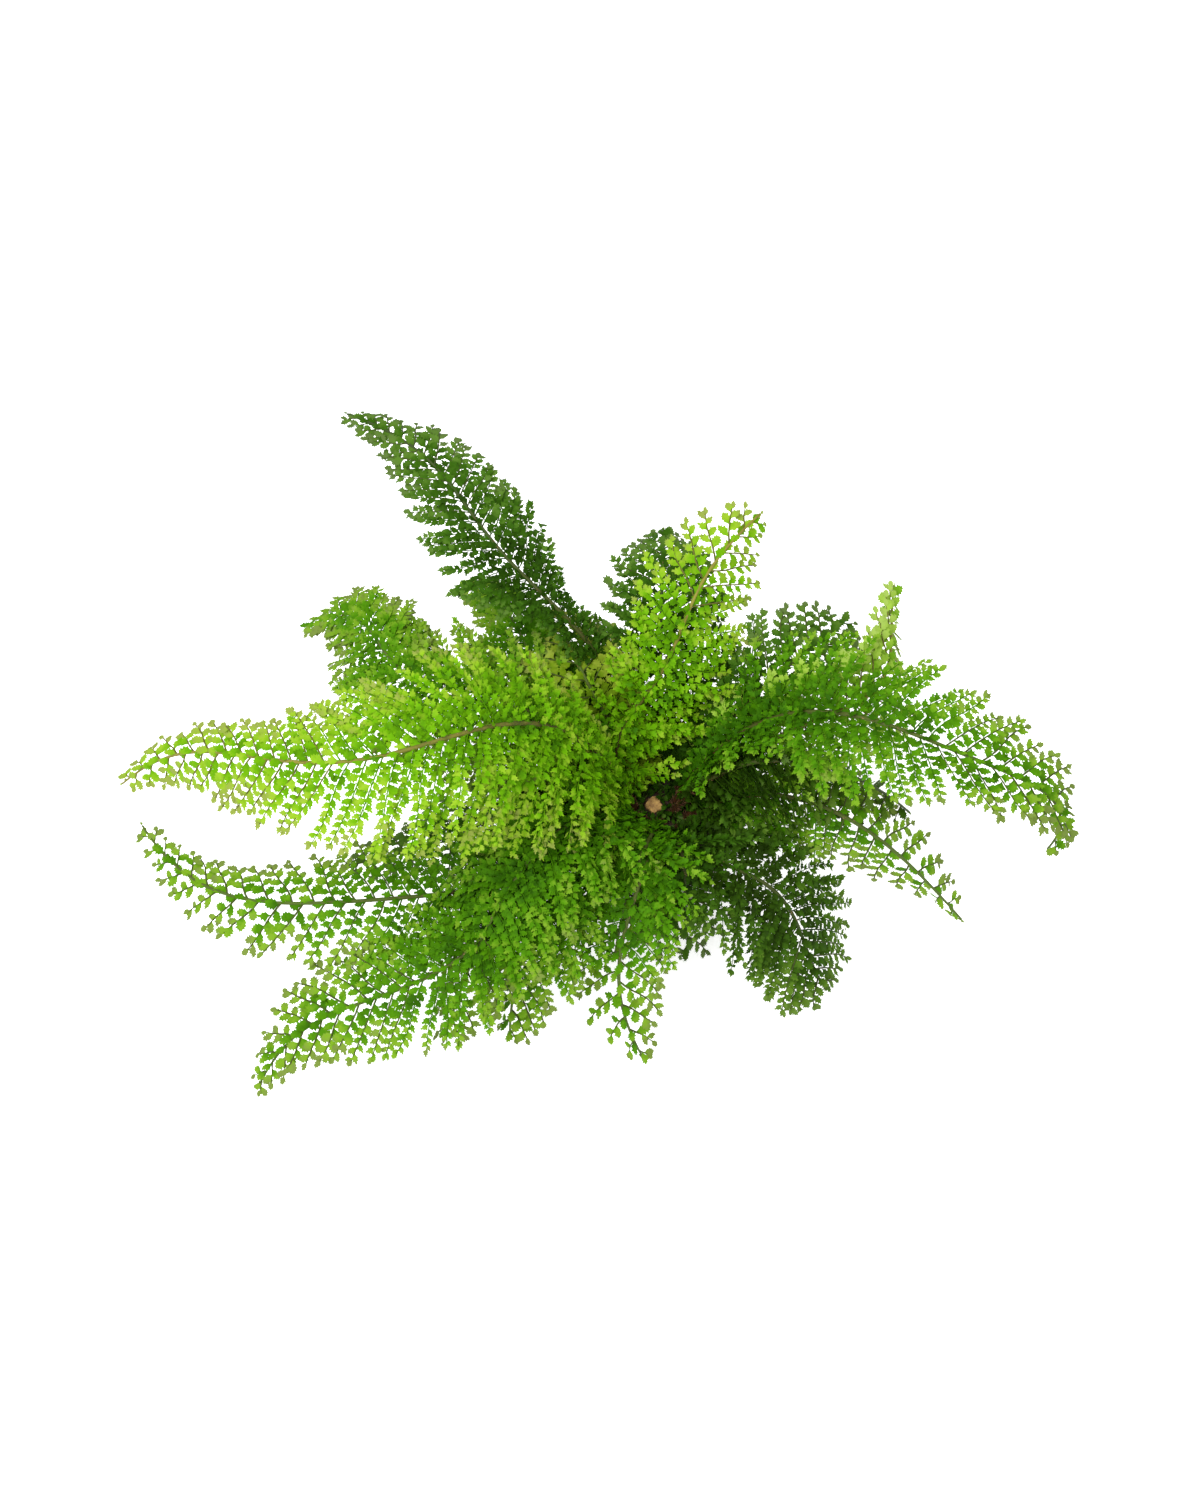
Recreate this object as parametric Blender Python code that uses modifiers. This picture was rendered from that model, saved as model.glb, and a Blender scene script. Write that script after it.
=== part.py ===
"""A potted soft shield fern at its real size.

Metres, +Z up. The origin is the centre of the pot's underside, on the surface that it stands on.
The front is -Y and +X is to the right. A plain nursery pot holds the soil, the crown (the fern's
woody rootstock) sits on the soil, and each frond stands by its stalk in a hole of the crown.
A frond is one thin sheet: a midrib strip with toothed leaflets cut down to it, given a thickness.
"""

import math
from collections import namedtuple

import bmesh
import bpy
import numpy as np
from mathutils.bvhtree import BVHTree

PART_NAME = "potted_soft_shield_fern"
GAP = 0.0003
MERGE = 0.0001
MM = 0.001

POT_HEIGHT = 0.100
POT_RIM_RADIUS = 0.056
POT_RIM_HEIGHT = 0.012
POT_RIM_LIP = 0.0022
POT_BASE_RADIUS = 0.040
POT_BASE_BEVEL = 0.002
POT_WALL = 0.0018
POT_FLOOR = 0.0025
POT_STEPS = 28
DRAIN_COUNT = 4
DRAIN_RADIUS = 0.004
DRAIN_CIRCLE = 0.025

SOIL_TOP = 0.0920
SOIL_SEAT_RADIUS = 0.0275
SOIL_LUMP = 0.0016
SOIL_STEPS = POT_STEPS

CROWN_RADIUS = 0.026
CROWN_FOOT_RADIUS = 0.024
CROWN_TOP = 0.1060
CROWN_DROP = 0.0100
CROWN_STEPS = 16
HOLE_RADIUS = 0.0024
HOLE_DEPTH = 0.007
RING_RADIUS = {1: 0.0115, 2: 0.0190}

STUMP_RADIUS = 0.0052
STUMP_TOP = 0.1105
STUB_RADIUS = 0.0024
STUB_LENGTH = 0.013
STUB_CIRCLE = 0.0235
STUB_LEAN = 40
STUB_ANGLES = (22, 62, 105, 208, 236, 257, 326)
FALLEN_STUB_START = (0.006, -0.016, 0.0985)
FALLEN_STUB_END = (0.021, -0.030, 0.1005)
FALLEN_STUB_RADIUS = 0.0035

STALK_SHARE = 0.12
STALK_STATIONS = (0.06,)
RACHIS_WIDTH = 0.0026
RACHIS_TIP_WIDTH = 0.0014
RACHIS_THICK = 0.0022
RACHIS_TIP_THICK = 0.0012
LEAF_THICK = 0.0008
LEAF_TIP_THICK = 0.0006

PINNA_ROOT = 0.0030
PINNA_FIRST_ANGLE = 77
PINNA_LAST_ANGLE = 44
PINNA_DROOP = 0.14
PINNA_FORWARD = 0.10
PINNA_WIDTH_SHARE = 0.47
BROADEST_PINNA = 0.36
LEAFLET_TAPER = 0.35
LOBE_TIP_SHARE = 0.70
NOTCH_SHARE = 0.48
SHOULDER_SHARE = 0.80
EAR_SHARE = 1.20
LONG_PINNA = 0.050
LAST_PAIR_SHARE = 0.93
WIDEST_SHARE = 0.20
ROOT_WIDTH_SHARE = 0.75
TIP_WIDTH_SHARE = 0.15

LEAF_CLEARANCE = 0.0020
STALK_CLEARANCE = 0.0026
SAMPLE_STEP = 0.003
POT_CLEARANCE = 0.003
FLOOR_CLEARANCE = 0.012
LIFT_TRIALS = (0, 12, -12, 24, -24, 36, -36, 50, -50)
LENGTH_TRIALS = (1.0, 0.78, 0.55)

# One row a frond, angles in degrees and lengths in millimetres. heading and reach place the tip round
# the crown. launch and rise give the stalk's direction and how long it keeps it, dive and fall
# the same for the tip. bow, sway and curl bend the midrib sideways, to its left, in one, two and
# three waves. taper is how late the blade narrows. fold lifts both its sides, and roll is the
# twist that it has gained at its tip. root is the place of the stalk's hole on its ring.
Frond = namedtuple("Frond", "heading reach tip_height launch rise dive fall bow sway curl"
                            " half_width taper fold roll ring root pairs tint")
FROND_ROWS = {
    "frond_01": Frond(180, 329, 141, 78, 332, 58, 144, 38, -3, -13, 74, 1.1, 0, 25, 1, 202, 14, "bright"),
    "frond_02": Frond(65, 148, 240, 84, 88, 6, 97, 16, 4, 6, 57, 2.4, -6, -40, 1, 175, 11, "bright"),
    "frond_03": Frond(352, 246, 119, 73, 245, 104, 115, 7, 9, 7, 60, 1.5, 16, 0, 1, 5, 12, "green"),
    "frond_04": Frond(131, 294, 214, 65, 166, 19, 114, -10, -2, -7, 50, 2.0, 5, -10, 2, 125, 12, "dark"),
    "frond_05": Frond(214, 297, 52, 49, 137, 52, 96, 20, 4, -9, 50, 2.6, 12, 0, 2, 222, 11, "green"),
    "frond_06": Frond(181, 325, 88, 55, 120, 19, 63, 78, 1, 6, 52, 1.6, -3, 0, 2, 193, 12, "green"),
    "frond_07": Frond(229, 198, 87, 69, 168, 60, 102, -10, 0, 0, 54, 2.6, -4, 0, 1, 229, 10, "green"),
    "frond_08": Frond(133, 175, 163, 57, 104, 22, 70, 5, 2, -3, 36, 2.2, 4, 9, 2, 142, 8, "green"),
    "frond_09": Frond(154, 247, 138, 64, 178, 52, 76, 15, 5, -13, 55, 2.0, 0, 0, 2, 160, 10, "green"),
    "frond_10": Frond(267, 146, 49, 70, 132, 71, 82, -14, 6, -1, 41, 2.6, 0, 0, 2, 278, 9, "green"),
    "frond_11": Frond(318, 147, 42, 60, 108, 74, 60, -6, -6, -5, 56, 3.0, 0, 0, 2, 318, 9, "dark"),
    "frond_12": Frond(237, 165, 70, 71, 138, 75, 90, -12, 0, 0, 54, 2.6, 0, 0, 1, 262, 9, "green"),
    "frond_13": Frond(344, 205, 55, 62, 130, 50, 80, 10, 0, 0, 42, 2.4, -30, -60, 2, 340, 9, "green"),
    "frond_14": Frond(36, 181, 201, 66, 202, 22, 53, -51, 2, 3, 44, 2.0, 0, -50, 2, 5, 9, "bright"),
    "frond_15": Frond(38, 150, 185, 70, 150, 25, 60, -12, 0, 0, 52, 2.6, 6, 0, 2, 40, 8, "green"),
    "frond_16": Frond(122, 115, 178, 68, 105, 15, 50, 10, 0, 0, 50, 2.6, 0, 0, 1, 121, 8, "green"),
    "frond_17": Frond(88, 152, 190, 68, 130, 30, 60, 0, 0, 0, 50, 2.4, 0, 0, 2, 85, 8, "dark"),
    "frond_18": Frond(358, 160, 110, 74, 150, 60, 70, 0, 0, 0, 46, 2.4, -50, 0, 1, 335, 8, "dark"),
    "frond_19": Frond(256, 104, 105, 60, 110, 60, 60, 0, 0, 0, 44, 2.0, -10, 0, 1, 295, 7, "green"),
    "frond_20": Frond(191, 197, 100, 62, 120, 15, 70, 10, 0, 0, 50, 2.0, -25, 30, 2, 176, 8, "dark"),
    "frond_21": Frond(284, 88, 75, 62, 100, 70, 60, 0, 0, 0, 50, 2.4, 0, 0, 2, 297, 7, "dark"),
}


def in_metres(row):
    return row._replace(reach=row.reach * MM, tip_height=row.tip_height * MM, rise=row.rise * MM,
                        fall=row.fall * MM, bow=row.bow * MM, sway=row.sway * MM, curl=row.curl * MM,
                        half_width=row.half_width * MM)


FRONDS = {name: in_metres(row) for name, row in FROND_ROWS.items()}

# Linear colour, roughness.
FINISHES = {
    "pot": ((0.045, 0.030, 0.024), 0.50),
    "soil": ((0.022, 0.014, 0.009), 0.95),
    "crown": ((0.070, 0.030, 0.016), 0.85),
    "bright": ((0.270, 0.520, 0.045), 0.55),
    "green": ((0.120, 0.330, 0.020), 0.55),
    "dark": ((0.025, 0.110, 0.018), 0.50),
}

UP = np.array([0.0, 0.0, 1.0])


def clear_scene():
    for item in list(bpy.data.objects):
        bpy.data.objects.remove(item, do_unlink=True)


def make_collection(name):
    collection = bpy.data.collections.new(name)
    bpy.context.scene.collection.children.link(collection)
    return collection


def make_material(name, finish):
    colour, roughness = FINISHES[finish]
    material = bpy.data.materials.new(name)
    material.use_nodes = True
    shader = material.node_tree.nodes["Principled BSDF"]
    shader.inputs["Base Color"].default_value = (*colour, 1.0)
    shader.inputs["Roughness"].default_value = roughness
    shader.inputs["Metallic"].default_value = 0.0
    return material


def add_object(name, mesh, collection, finish=None):
    item = bpy.data.objects.new(name, mesh)
    collection.objects.link(item)
    if finish:
        mesh.materials.append(make_material(name, finish))
    return item


def mark_as_cutter(item):
    item.hide_render = True
    item.display_type = "WIRE"


def solid_mesh(item):
    """The item's mesh with its modifiers worked in."""
    bpy.context.view_layer.update()
    graph = bpy.context.evaluated_depsgraph_get()
    return bpy.data.meshes.new_from_object(item.evaluated_get(graph))


def work_in_modifiers(item):
    mesh = solid_mesh(item)
    item.modifiers.clear()
    item.data = mesh


def turned_object(name, profile, steps, collection, finish):
    """A solid turned about Z from (radius, height) points that end running down its outer side."""
    mesh = bpy.data.meshes.new(name)
    points = [(radius, 0.0, height) for radius, height in profile]
    mesh.from_pydata(points, [(i, i + 1) for i in range(len(points) - 1)], [])
    item = add_object(name, mesh, collection, finish)
    screw = item.modifiers.new("Turn", "SCREW")
    screw.steps = steps
    screw.render_steps = steps
    screw.use_merge_vertices = True
    screw.merge_threshold = MERGE
    return item


def prism_between(name, start, end, start_radius, end_radius, sides, collection):
    """A straight prism or taper from one point to another."""
    start, end = np.array(start), np.array(end)
    axis = (end - start) / np.linalg.norm(end - start)
    across = np.cross(axis, UP) if abs(axis[2]) < 0.9 else np.array([1.0, 0.0, 0.0])
    across = across - axis * (across @ axis)
    across = across / np.linalg.norm(across)
    other = np.cross(axis, across)
    work = bmesh.new()
    rings = []
    for centre, radius in ((start, start_radius), (end, end_radius)):
        angles = [2 * math.pi * i / sides for i in range(sides)]
        ring = [centre + radius * (math.cos(a) * across + math.sin(a) * other) for a in angles]
        rings.append([work.verts.new(point) for point in ring])
    work.faces.new(list(reversed(rings[0])))
    work.faces.new(rings[1])
    for i in range(sides):
        j = (i + 1) % sides
        work.faces.new((rings[0][i], rings[0][j], rings[1][j], rings[1][i]))
    mesh = bpy.data.meshes.new(name)
    work.to_mesh(mesh)
    work.free()
    return add_object(name, mesh, collection)


def add_boolean(item, operation, collection):
    modifier = item.modifiers.new(operation.title(), "BOOLEAN")
    modifier.operation = operation
    modifier.solver = "EXACT"
    modifier.operand_type = "COLLECTION"
    modifier.collection = collection


def pot_inner_radius(height):
    """Inside of the pot wall, which widens evenly from the base to below the rim."""
    share = height / (POT_HEIGHT - POT_RIM_HEIGHT)
    outer = POT_BASE_RADIUS + share * (POT_RIM_RADIUS - POT_RIM_LIP - POT_BASE_RADIUS)
    return outer - POT_WALL


def build_pot(collection, cutters):
    rim_foot = POT_HEIGHT - POT_RIM_HEIGHT
    wall_radius = POT_RIM_RADIUS - POT_RIM_LIP
    profile = [
        (0.0, POT_FLOOR),
        (pot_inner_radius(POT_FLOOR), POT_FLOOR),
        (pot_inner_radius(rim_foot), rim_foot),
        (POT_RIM_RADIUS - POT_WALL, POT_HEIGHT),
        (POT_RIM_RADIUS, POT_HEIGHT),
        (POT_RIM_RADIUS, rim_foot),
        (wall_radius, rim_foot),
        (POT_BASE_RADIUS, POT_BASE_BEVEL),
        (POT_BASE_RADIUS - POT_BASE_BEVEL, 0.0),
        (0.0, 0.0),
    ]
    pot = turned_object("pot", profile, POT_STEPS, collection, "pot")
    for i in range(DRAIN_COUNT):
        angle = 2 * math.pi * (i + 0.5) / DRAIN_COUNT
        x, y = DRAIN_CIRCLE * math.cos(angle), DRAIN_CIRCLE * math.sin(angle)
        hole = prism_between(f"drain_cutter_{i + 1}", (x, y, -POT_FLOOR), (x, y, 2 * POT_FLOOR),
                             DRAIN_RADIUS, DRAIN_RADIUS, 8, cutters)
        mark_as_cutter(hole)
    add_boolean(pot, "DIFFERENCE", cutters)


def soil_lump(x, y):
    """Uneven height of the soil's top, between -1 and 1."""
    return 0.6 * math.sin(210 * x + 1.3) * math.cos(190 * y) + 0.4 * math.sin(330 * x - 260 * y)


def build_soil(collection):
    edge_radius = pot_inner_radius(SOIL_TOP - 0.004) - GAP
    floor = POT_FLOOR + GAP
    middle_radius = (SOIL_SEAT_RADIUS + edge_radius) / 2
    profile = [
        (0.0, SOIL_TOP),
        (SOIL_SEAT_RADIUS, SOIL_TOP),
        (middle_radius, SOIL_TOP - 0.001),
        (edge_radius - 0.003, SOIL_TOP - 0.002),
        (edge_radius, SOIL_TOP - 0.005),
        (pot_inner_radius(floor) - GAP, floor),
        (0.0, floor),
    ]
    soil = turned_object("soil", profile, SOIL_STEPS, collection, "soil")
    work_in_modifiers(soil)
    for vertex in soil.data.vertices:
        radius = math.hypot(vertex.co.x, vertex.co.y)
        if vertex.co.z > SOIL_TOP - 0.003 and radius > SOIL_SEAT_RADIUS + MERGE:
            vertex.co.z += SOIL_LUMP * soil_lump(vertex.co.x, vertex.co.y)


def crown_height(radius):
    return CROWN_TOP - CROWN_DROP * (radius / CROWN_RADIUS) ** 2


def hole_mouth(ring):
    """Height of the uphill edge of a stalk's hole."""
    return crown_height(RING_RADIUS[ring] - HOLE_RADIUS)


def root_place(frond):
    angle = math.radians(frond.root)
    return np.array([math.cos(angle), math.sin(angle)]) * RING_RADIUS[frond.ring]


def build_crown(collection, cutters, stubs):
    bottom = SOIL_TOP + GAP
    dome = [(CROWN_RADIUS * share, crown_height(CROWN_RADIUS * share)) for share in (0, 0.35, 0.7, 1)]
    profile = dome + [(CROWN_FOOT_RADIUS, bottom), (0.0, bottom)]
    crown = turned_object("crown", profile, CROWN_STEPS, collection, "crown")
    prism_between("stump", (0, 0, crown_height(0) - 0.004), (0, -0.001, STUMP_TOP),
                  STUMP_RADIUS, STUMP_RADIUS * 0.9, 8, stubs)
    prism_between("fallen_stub", FALLEN_STUB_START, FALLEN_STUB_END,
                  FALLEN_STUB_RADIUS, FALLEN_STUB_RADIUS * 0.8, 7, stubs)
    lean = math.radians(STUB_LEAN)
    for i, degrees in enumerate(STUB_ANGLES):
        angle = math.radians(degrees)
        outward = np.array([math.cos(angle), math.sin(angle), 0.0])
        axis = outward * math.sin(lean) + UP * math.cos(lean)
        foot = outward * STUB_CIRCLE + UP * (crown_height(STUB_CIRCLE) - 0.002)
        start = foot - axis * STUB_LENGTH * 0.1
        prism_between(f"stub_{i + 1}", start, start + axis * STUB_LENGTH,
                      STUB_RADIUS, STUB_RADIUS * 0.7, 5, stubs)
    for name, frond in FRONDS.items():
        x, y = root_place(frond)
        mouth = hole_mouth(frond.ring)
        hole = prism_between(f"hole_cutter_{name}", (x, y, mouth - HOLE_DEPTH), (x, y, mouth + 0.02),
                             HOLE_RADIUS, HOLE_RADIUS, 6, cutters)
        mark_as_cutter(hole)
    add_boolean(crown, "UNION", stubs)
    work_in_modifiers(crown)
    for item in list(stubs.objects):
        bpy.data.objects.remove(item, do_unlink=True)
    add_boolean(crown, "DIFFERENCE", cutters)


class Midrib:
    """A frond's midrib above the crown, with the directions of its blade along it."""

    SAMPLES = 81
    STEP = 0.02

    def __init__(self, frond):
        t = np.linspace(0.0, 1.0, self.SAMPLES)[:, None]
        heading = math.radians(frond.heading)
        ahead = np.array([math.cos(heading), math.sin(heading), 0.0])
        right = np.cross(ahead, UP)
        launch, dive = math.radians(frond.launch), math.radians(frond.dive)
        start = np.array([*root_place(frond), hole_mouth(frond.ring) + 0.001])
        end = ahead * frond.reach + UP * frond.tip_height
        first = start + frond.rise * (ahead * math.cos(launch) + UP * math.sin(launch))
        last = end + frond.fall * (-ahead * math.cos(dive) + UP * math.sin(dive))
        back = 1 - t
        bend = back ** 3 * start + 3 * back ** 2 * t * first + 3 * back * t ** 2 * last + t ** 3 * end
        side = frond.bow * np.sin(math.pi * t) + frond.sway * np.sin(2 * math.pi * t)
        side += frond.curl * np.sin(3 * math.pi * t)
        self.points = bend - right * side
        steps = np.linalg.norm(np.diff(self.points, axis=0), axis=1)
        self.length = steps.sum()
        self.shares = np.concatenate([[0.0], np.cumsum(steps)]) / self.length
        self.right = right
        self.roll = math.radians(frond.roll)

    def at(self, share):
        """Place, direction ahead, direction to the blade's right and the blade's upward normal."""
        place = np.array([np.interp(share, self.shares, self.points[:, i]) for i in range(3)])
        before, after = share - self.STEP, share + self.STEP
        near = np.array([np.interp(before, self.shares, self.points[:, i]) for i in range(3)])
        far = np.array([np.interp(after, self.shares, self.points[:, i]) for i in range(3)])
        ahead = (far - near) / np.linalg.norm(far - near)
        right = self.right - ahead * (self.right @ ahead)
        right = right / np.linalg.norm(right)
        normal = np.cross(right, ahead)
        roll = self.roll * share
        turned = right * math.cos(roll) + normal * math.sin(roll)
        return place, ahead, turned, np.cross(turned, ahead)


class Sheet:
    """Triangles of one frond, with the thickness that each of its points gets."""

    def __init__(self):
        self.points = []
        self.thickness = []
        self.triangles = []

    def add_point(self, point, thickness):
        self.points.append(np.array(point))
        self.thickness.append(thickness)
        return len(self.points) - 1


def width_share(share, power):
    """How wide the blade is along its length: short at its root, widest early, then tapering."""
    if share < WIDEST_SHARE:
        return ROOT_WIDTH_SHARE + (1 - ROOT_WIDTH_SHARE) * math.sin(share / WIDEST_SHARE * math.pi / 2)
    taper = ((share - WIDEST_SHARE) / (1 - WIDEST_SHARE)) ** power
    return 1 - (1 - TIP_WIDTH_SHARE) * taper


def build_midrib(frond, midrib):
    """The midrib strip, with the four root points of each pair of leaflets."""
    sheet = Sheet()
    x, y = root_place(frond)
    foot = np.array([x, y, hole_mouth(frond.ring) - HOLE_DEPTH + GAP])
    start, ahead, right, normal = midrib.at(0.0)
    stations = [(foot, midrib.right, 0.0)]
    stations.append((start, midrib.right, 0.0))
    for share in STALK_STATIONS:
        place, ahead, right, normal = midrib.at(share)
        stations.append((place, right, share))
    pair_stations = []
    blade = np.linspace(STALK_SHARE, LAST_PAIR_SHARE, frond.pairs)
    for share in blade:
        pair_stations.append(len(stations))
        for root_share in (share, share + PINNA_ROOT / midrib.length):
            place, ahead, right, normal = midrib.at(root_share)
            stations.append((place, right, root_share))
    right_edge, left_edge = [], []
    for place, right, share in stations:
        half = (RACHIS_WIDTH + (RACHIS_TIP_WIDTH - RACHIS_WIDTH) * share) / 2
        thickness = RACHIS_THICK + (RACHIS_TIP_THICK - RACHIS_THICK) * share
        right_edge.append(sheet.add_point(place + right * half, thickness))
        left_edge.append(sheet.add_point(place - right * half, thickness))
    for i in range(len(stations) - 1):
        a, b, c, d = right_edge[i], right_edge[i + 1], left_edge[i + 1], left_edge[i]
        sheet.triangles += [(a, b, c), (a, c, d)]
    tip = sheet.add_point(midrib.points[-1], LEAF_THICK)
    sheet.triangles.append((right_edge[-1], tip, left_edge[-1]))
    roots = [(share, right_edge[i], right_edge[i + 1], left_edge[i], left_edge[i + 1])
             for share, i in zip(blade, pair_stations)]
    return sheet, roots


def leaflet_outline(length, half_width, lobes):
    """One side's (along, across) points: each lobe's tip and notch in turn, then the shoulder."""
    points = []
    last = 0.0
    for i in range(lobes):
        notch = (i + 0.9) / (lobes + 1.1)
        tip = last + LOBE_TIP_SHARE * (notch - last)
        points += [(tip, 1.0), (notch, NOTCH_SHARE)]
        last = notch
    points.append(((1 + last) / 2, SHOULDER_SHARE))
    return [(along * length, reach * half_width * (1 - LEAFLET_TAPER * along)) for along, reach in points]


def leaflet_points(root, side, angle, lift, length, half_width, lobes, directions):
    """The leaflet's points in space: lower side, tip, then upper side back to the root."""
    ahead, right, normal = directions
    outward = side * right * math.sin(angle) + ahead * math.cos(angle)
    outward = outward * math.cos(lift) + normal * math.sin(lift)
    upward = ahead - outward * (ahead @ outward)
    upward = upward / np.linalg.norm(upward)
    above = np.cross(outward, upward) * side

    def place(along, across):
        bend = (along / length) ** 2 * length
        return root + outward * along + upward * (across + PINNA_FORWARD * bend) - above * PINNA_DROOP * bend

    outline = leaflet_outline(length, half_width, lobes)
    lower = [place(along, -across) for along, across in outline]
    upper = [place(along, across) for along, across in outline]
    upper[0] = place(outline[0][0], outline[0][1] * EAR_SHARE)
    return lower + [place(length, 0.0)] + upper[::-1]


def leaflet_triangles(lobes, near, points, far):
    """A ladder of triangles from the root's two points, a lobe on each side of each rung."""
    count = 2 * lobes + 1
    lower, tip, upper = points[:count], points[count], points[count + 1:][::-1]
    triangles = []
    for i in range(lobes):
        lobe, notch = lower[2 * i], lower[2 * i + 1]
        far_lobe, far_notch = upper[2 * i], upper[2 * i + 1]
        triangles += [(near, lobe, notch), (near, notch, far_notch),
                      (near, far_notch, far), (far_notch, far_lobe, far)]
        near, far = notch, far_notch
    triangles += [(near, lower[-1], upper[-1]), (near, upper[-1], far), (lower[-1], tip, upper[-1])]
    return triangles


def edge_samples(points, triangles):
    """Points along the triangles' edges, close enough to find anything that nears them."""
    samples = [points]
    for i, j in sorted({tuple(sorted(pair)) for a, b, c in triangles for pair in ((a, b), (b, c), (c, a))}):
        count = math.ceil(np.linalg.norm(points[j] - points[i]) / SAMPLE_STEP)
        shares = np.arange(1, count)[:, None] / count
        samples.append(points[i] * (1 - shares) + points[j] * shares)
    return np.vstack(samples)


class Obstacle:
    """Part of a placed frond, which later leaflets keep clear of."""

    def __init__(self, points, triangles, clearance):
        self.points = np.array(points)
        self.tree = BVHTree.FromPolygons([tuple(p) for p in self.points], triangles)
        self.low = self.points.min(axis=0) - clearance
        self.high = self.points.max(axis=0) + clearance
        self.clearance = clearance

    def nears(self, point):
        return self.tree.find_nearest(tuple(point), self.clearance)[0] is not None

    def is_hit_by(self, leaflet, samples):
        if (leaflet.low > self.high).any() or (leaflet.high < self.low).any():
            return False
        if any(self.nears(point) for point in samples):
            return True
        if any(leaflet.nears(point) for point in self.points):
            return True
        return bool(leaflet.tree.overlap(self.tree))


def is_in_free_space(points):
    """Clear of the surface that the pot stands on, and of the pot."""
    radius = np.hypot(points[:, 0], points[:, 1])
    beside_pot = points[:, 2] < POT_HEIGHT + POT_CLEARANCE
    over_pot = radius < POT_RIM_RADIUS + POT_CLEARANCE
    return points[:, 2].min() > FLOOR_CLEARANCE and not (beside_pot & over_pot).any()


def add_leaflet(sheet, frond, midrib, share, side, roots, pair_gap, obstacles):
    """Adds one leaflet, bent up or down or shortened until it is clear of what is placed."""
    place, ahead, right, normal = midrib.at(share + 0.5 * PINNA_ROOT / midrib.length)
    blade_share = (share - STALK_SHARE) / (LAST_PAIR_SHARE - STALK_SHARE)
    angle = math.radians(PINNA_FIRST_ANGLE + (PINNA_LAST_ANGLE - PINNA_FIRST_ANGLE) * blade_share)
    full_length = frond.half_width * width_share(blade_share, frond.taper)
    half_width = min(PINNA_WIDTH_SHARE * pair_gap, BROADEST_PINNA * full_length)
    lobes = 2 if full_length > LONG_PINNA else 1
    near, far = roots if side > 0 else roots[::-1]
    for length_share in LENGTH_TRIALS:
        for lift in LIFT_TRIALS:
            points = leaflet_points(place, side, angle, math.radians(frond.fold + lift),
                                    full_length * length_share, half_width, lobes, (ahead, right, normal))
            if side < 0:
                points = points[::-1]
            points = np.array(points)
            if not is_in_free_space(points):
                continue
            whole = np.vstack([sheet.points[near], sheet.points[far], points])
            triangles = leaflet_triangles(lobes, 0, list(range(2, len(whole))), 1)
            leaflet = Obstacle(whole, triangles, LEAF_CLEARANCE)
            samples = edge_samples(whole, triangles)
            if any(item.is_hit_by(leaflet, samples) for item in obstacles):
                continue
            added = [sheet.add_point(point, LEAF_THICK) for point in points]
            sheet.thickness[added[2 * lobes + 1]] = LEAF_TIP_THICK
            sheet.triangles += leaflet_triangles(lobes, near, added, far)
            return leaflet
    return None


def build_blade(sheet, frond, midrib, roots, stalks, leaflets):
    """Adds the frond's leaflets to its midrib strip, and itself to the placed leaflets."""
    pair_gap = midrib.length * (LAST_PAIR_SHARE - STALK_SHARE) / (frond.pairs - 1)
    added = []
    for share, right_near, right_far, left_near, left_far in roots:
        for side, pair in ((1, (right_near, right_far)), (-1, (left_near, left_far))):
            leaflet = add_leaflet(sheet, frond, midrib, share, side, pair, pair_gap, stalks + leaflets)
            if leaflet:
                added.append(leaflet)
    leaflets += added


def build_frond(name, frond, sheet, collection):
    mesh = bpy.data.meshes.new(name)
    mesh.from_pydata([tuple(point) for point in sheet.points], [], sheet.triangles)
    item = add_object(name, mesh, collection, frond.tint)
    group = item.vertex_groups.new(name="thickness")
    for i, thickness in enumerate(sheet.thickness):
        group.add([i], thickness / RACHIS_THICK, "REPLACE")
    solidify = item.modifiers.new("Thickness", "SOLIDIFY")
    solidify.thickness = RACHIS_THICK
    solidify.offset = 0.0
    solidify.vertex_group = group.name
    solidify.thickness_vertex_group = 0.0


def build_fronds(collection):
    midribs = {name: Midrib(frond) for name, frond in FRONDS.items()}
    strips = {name: build_midrib(frond, midribs[name]) for name, frond in FRONDS.items()}
    stalks = {name: Obstacle(sheet.points, sheet.triangles, STALK_CLEARANCE)
              for name, (sheet, roots) in strips.items()}
    leaflets = []
    for name, frond in FRONDS.items():
        sheet, roots = strips[name]
        others = [stalk for owner, stalk in stalks.items() if owner != name]
        build_blade(sheet, frond, midribs[name], roots, others, leaflets)
        build_frond(name, frond, sheet, collection)


def main():
    clear_scene()
    part = make_collection(PART_NAME)
    drain_cutters = make_collection("drain_cutters")
    hole_cutters = make_collection("hole_cutters")
    stubs = make_collection("stubs")
    build_pot(part, drain_cutters)
    build_soil(part)
    build_crown(part, hole_cutters, stubs)
    build_fronds(part)


main()
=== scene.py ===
"""Looks of the potted soft shield fern.

Metres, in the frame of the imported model: +Z up, the camera on the -Y side, the origin at the centre
of the pot's underside. Every frond keeps its own midrib and outline and gets its real cutting:
side branches (pinnae) with small toothed segments (pinnules) along them.
"""

import math
from collections import namedtuple

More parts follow.
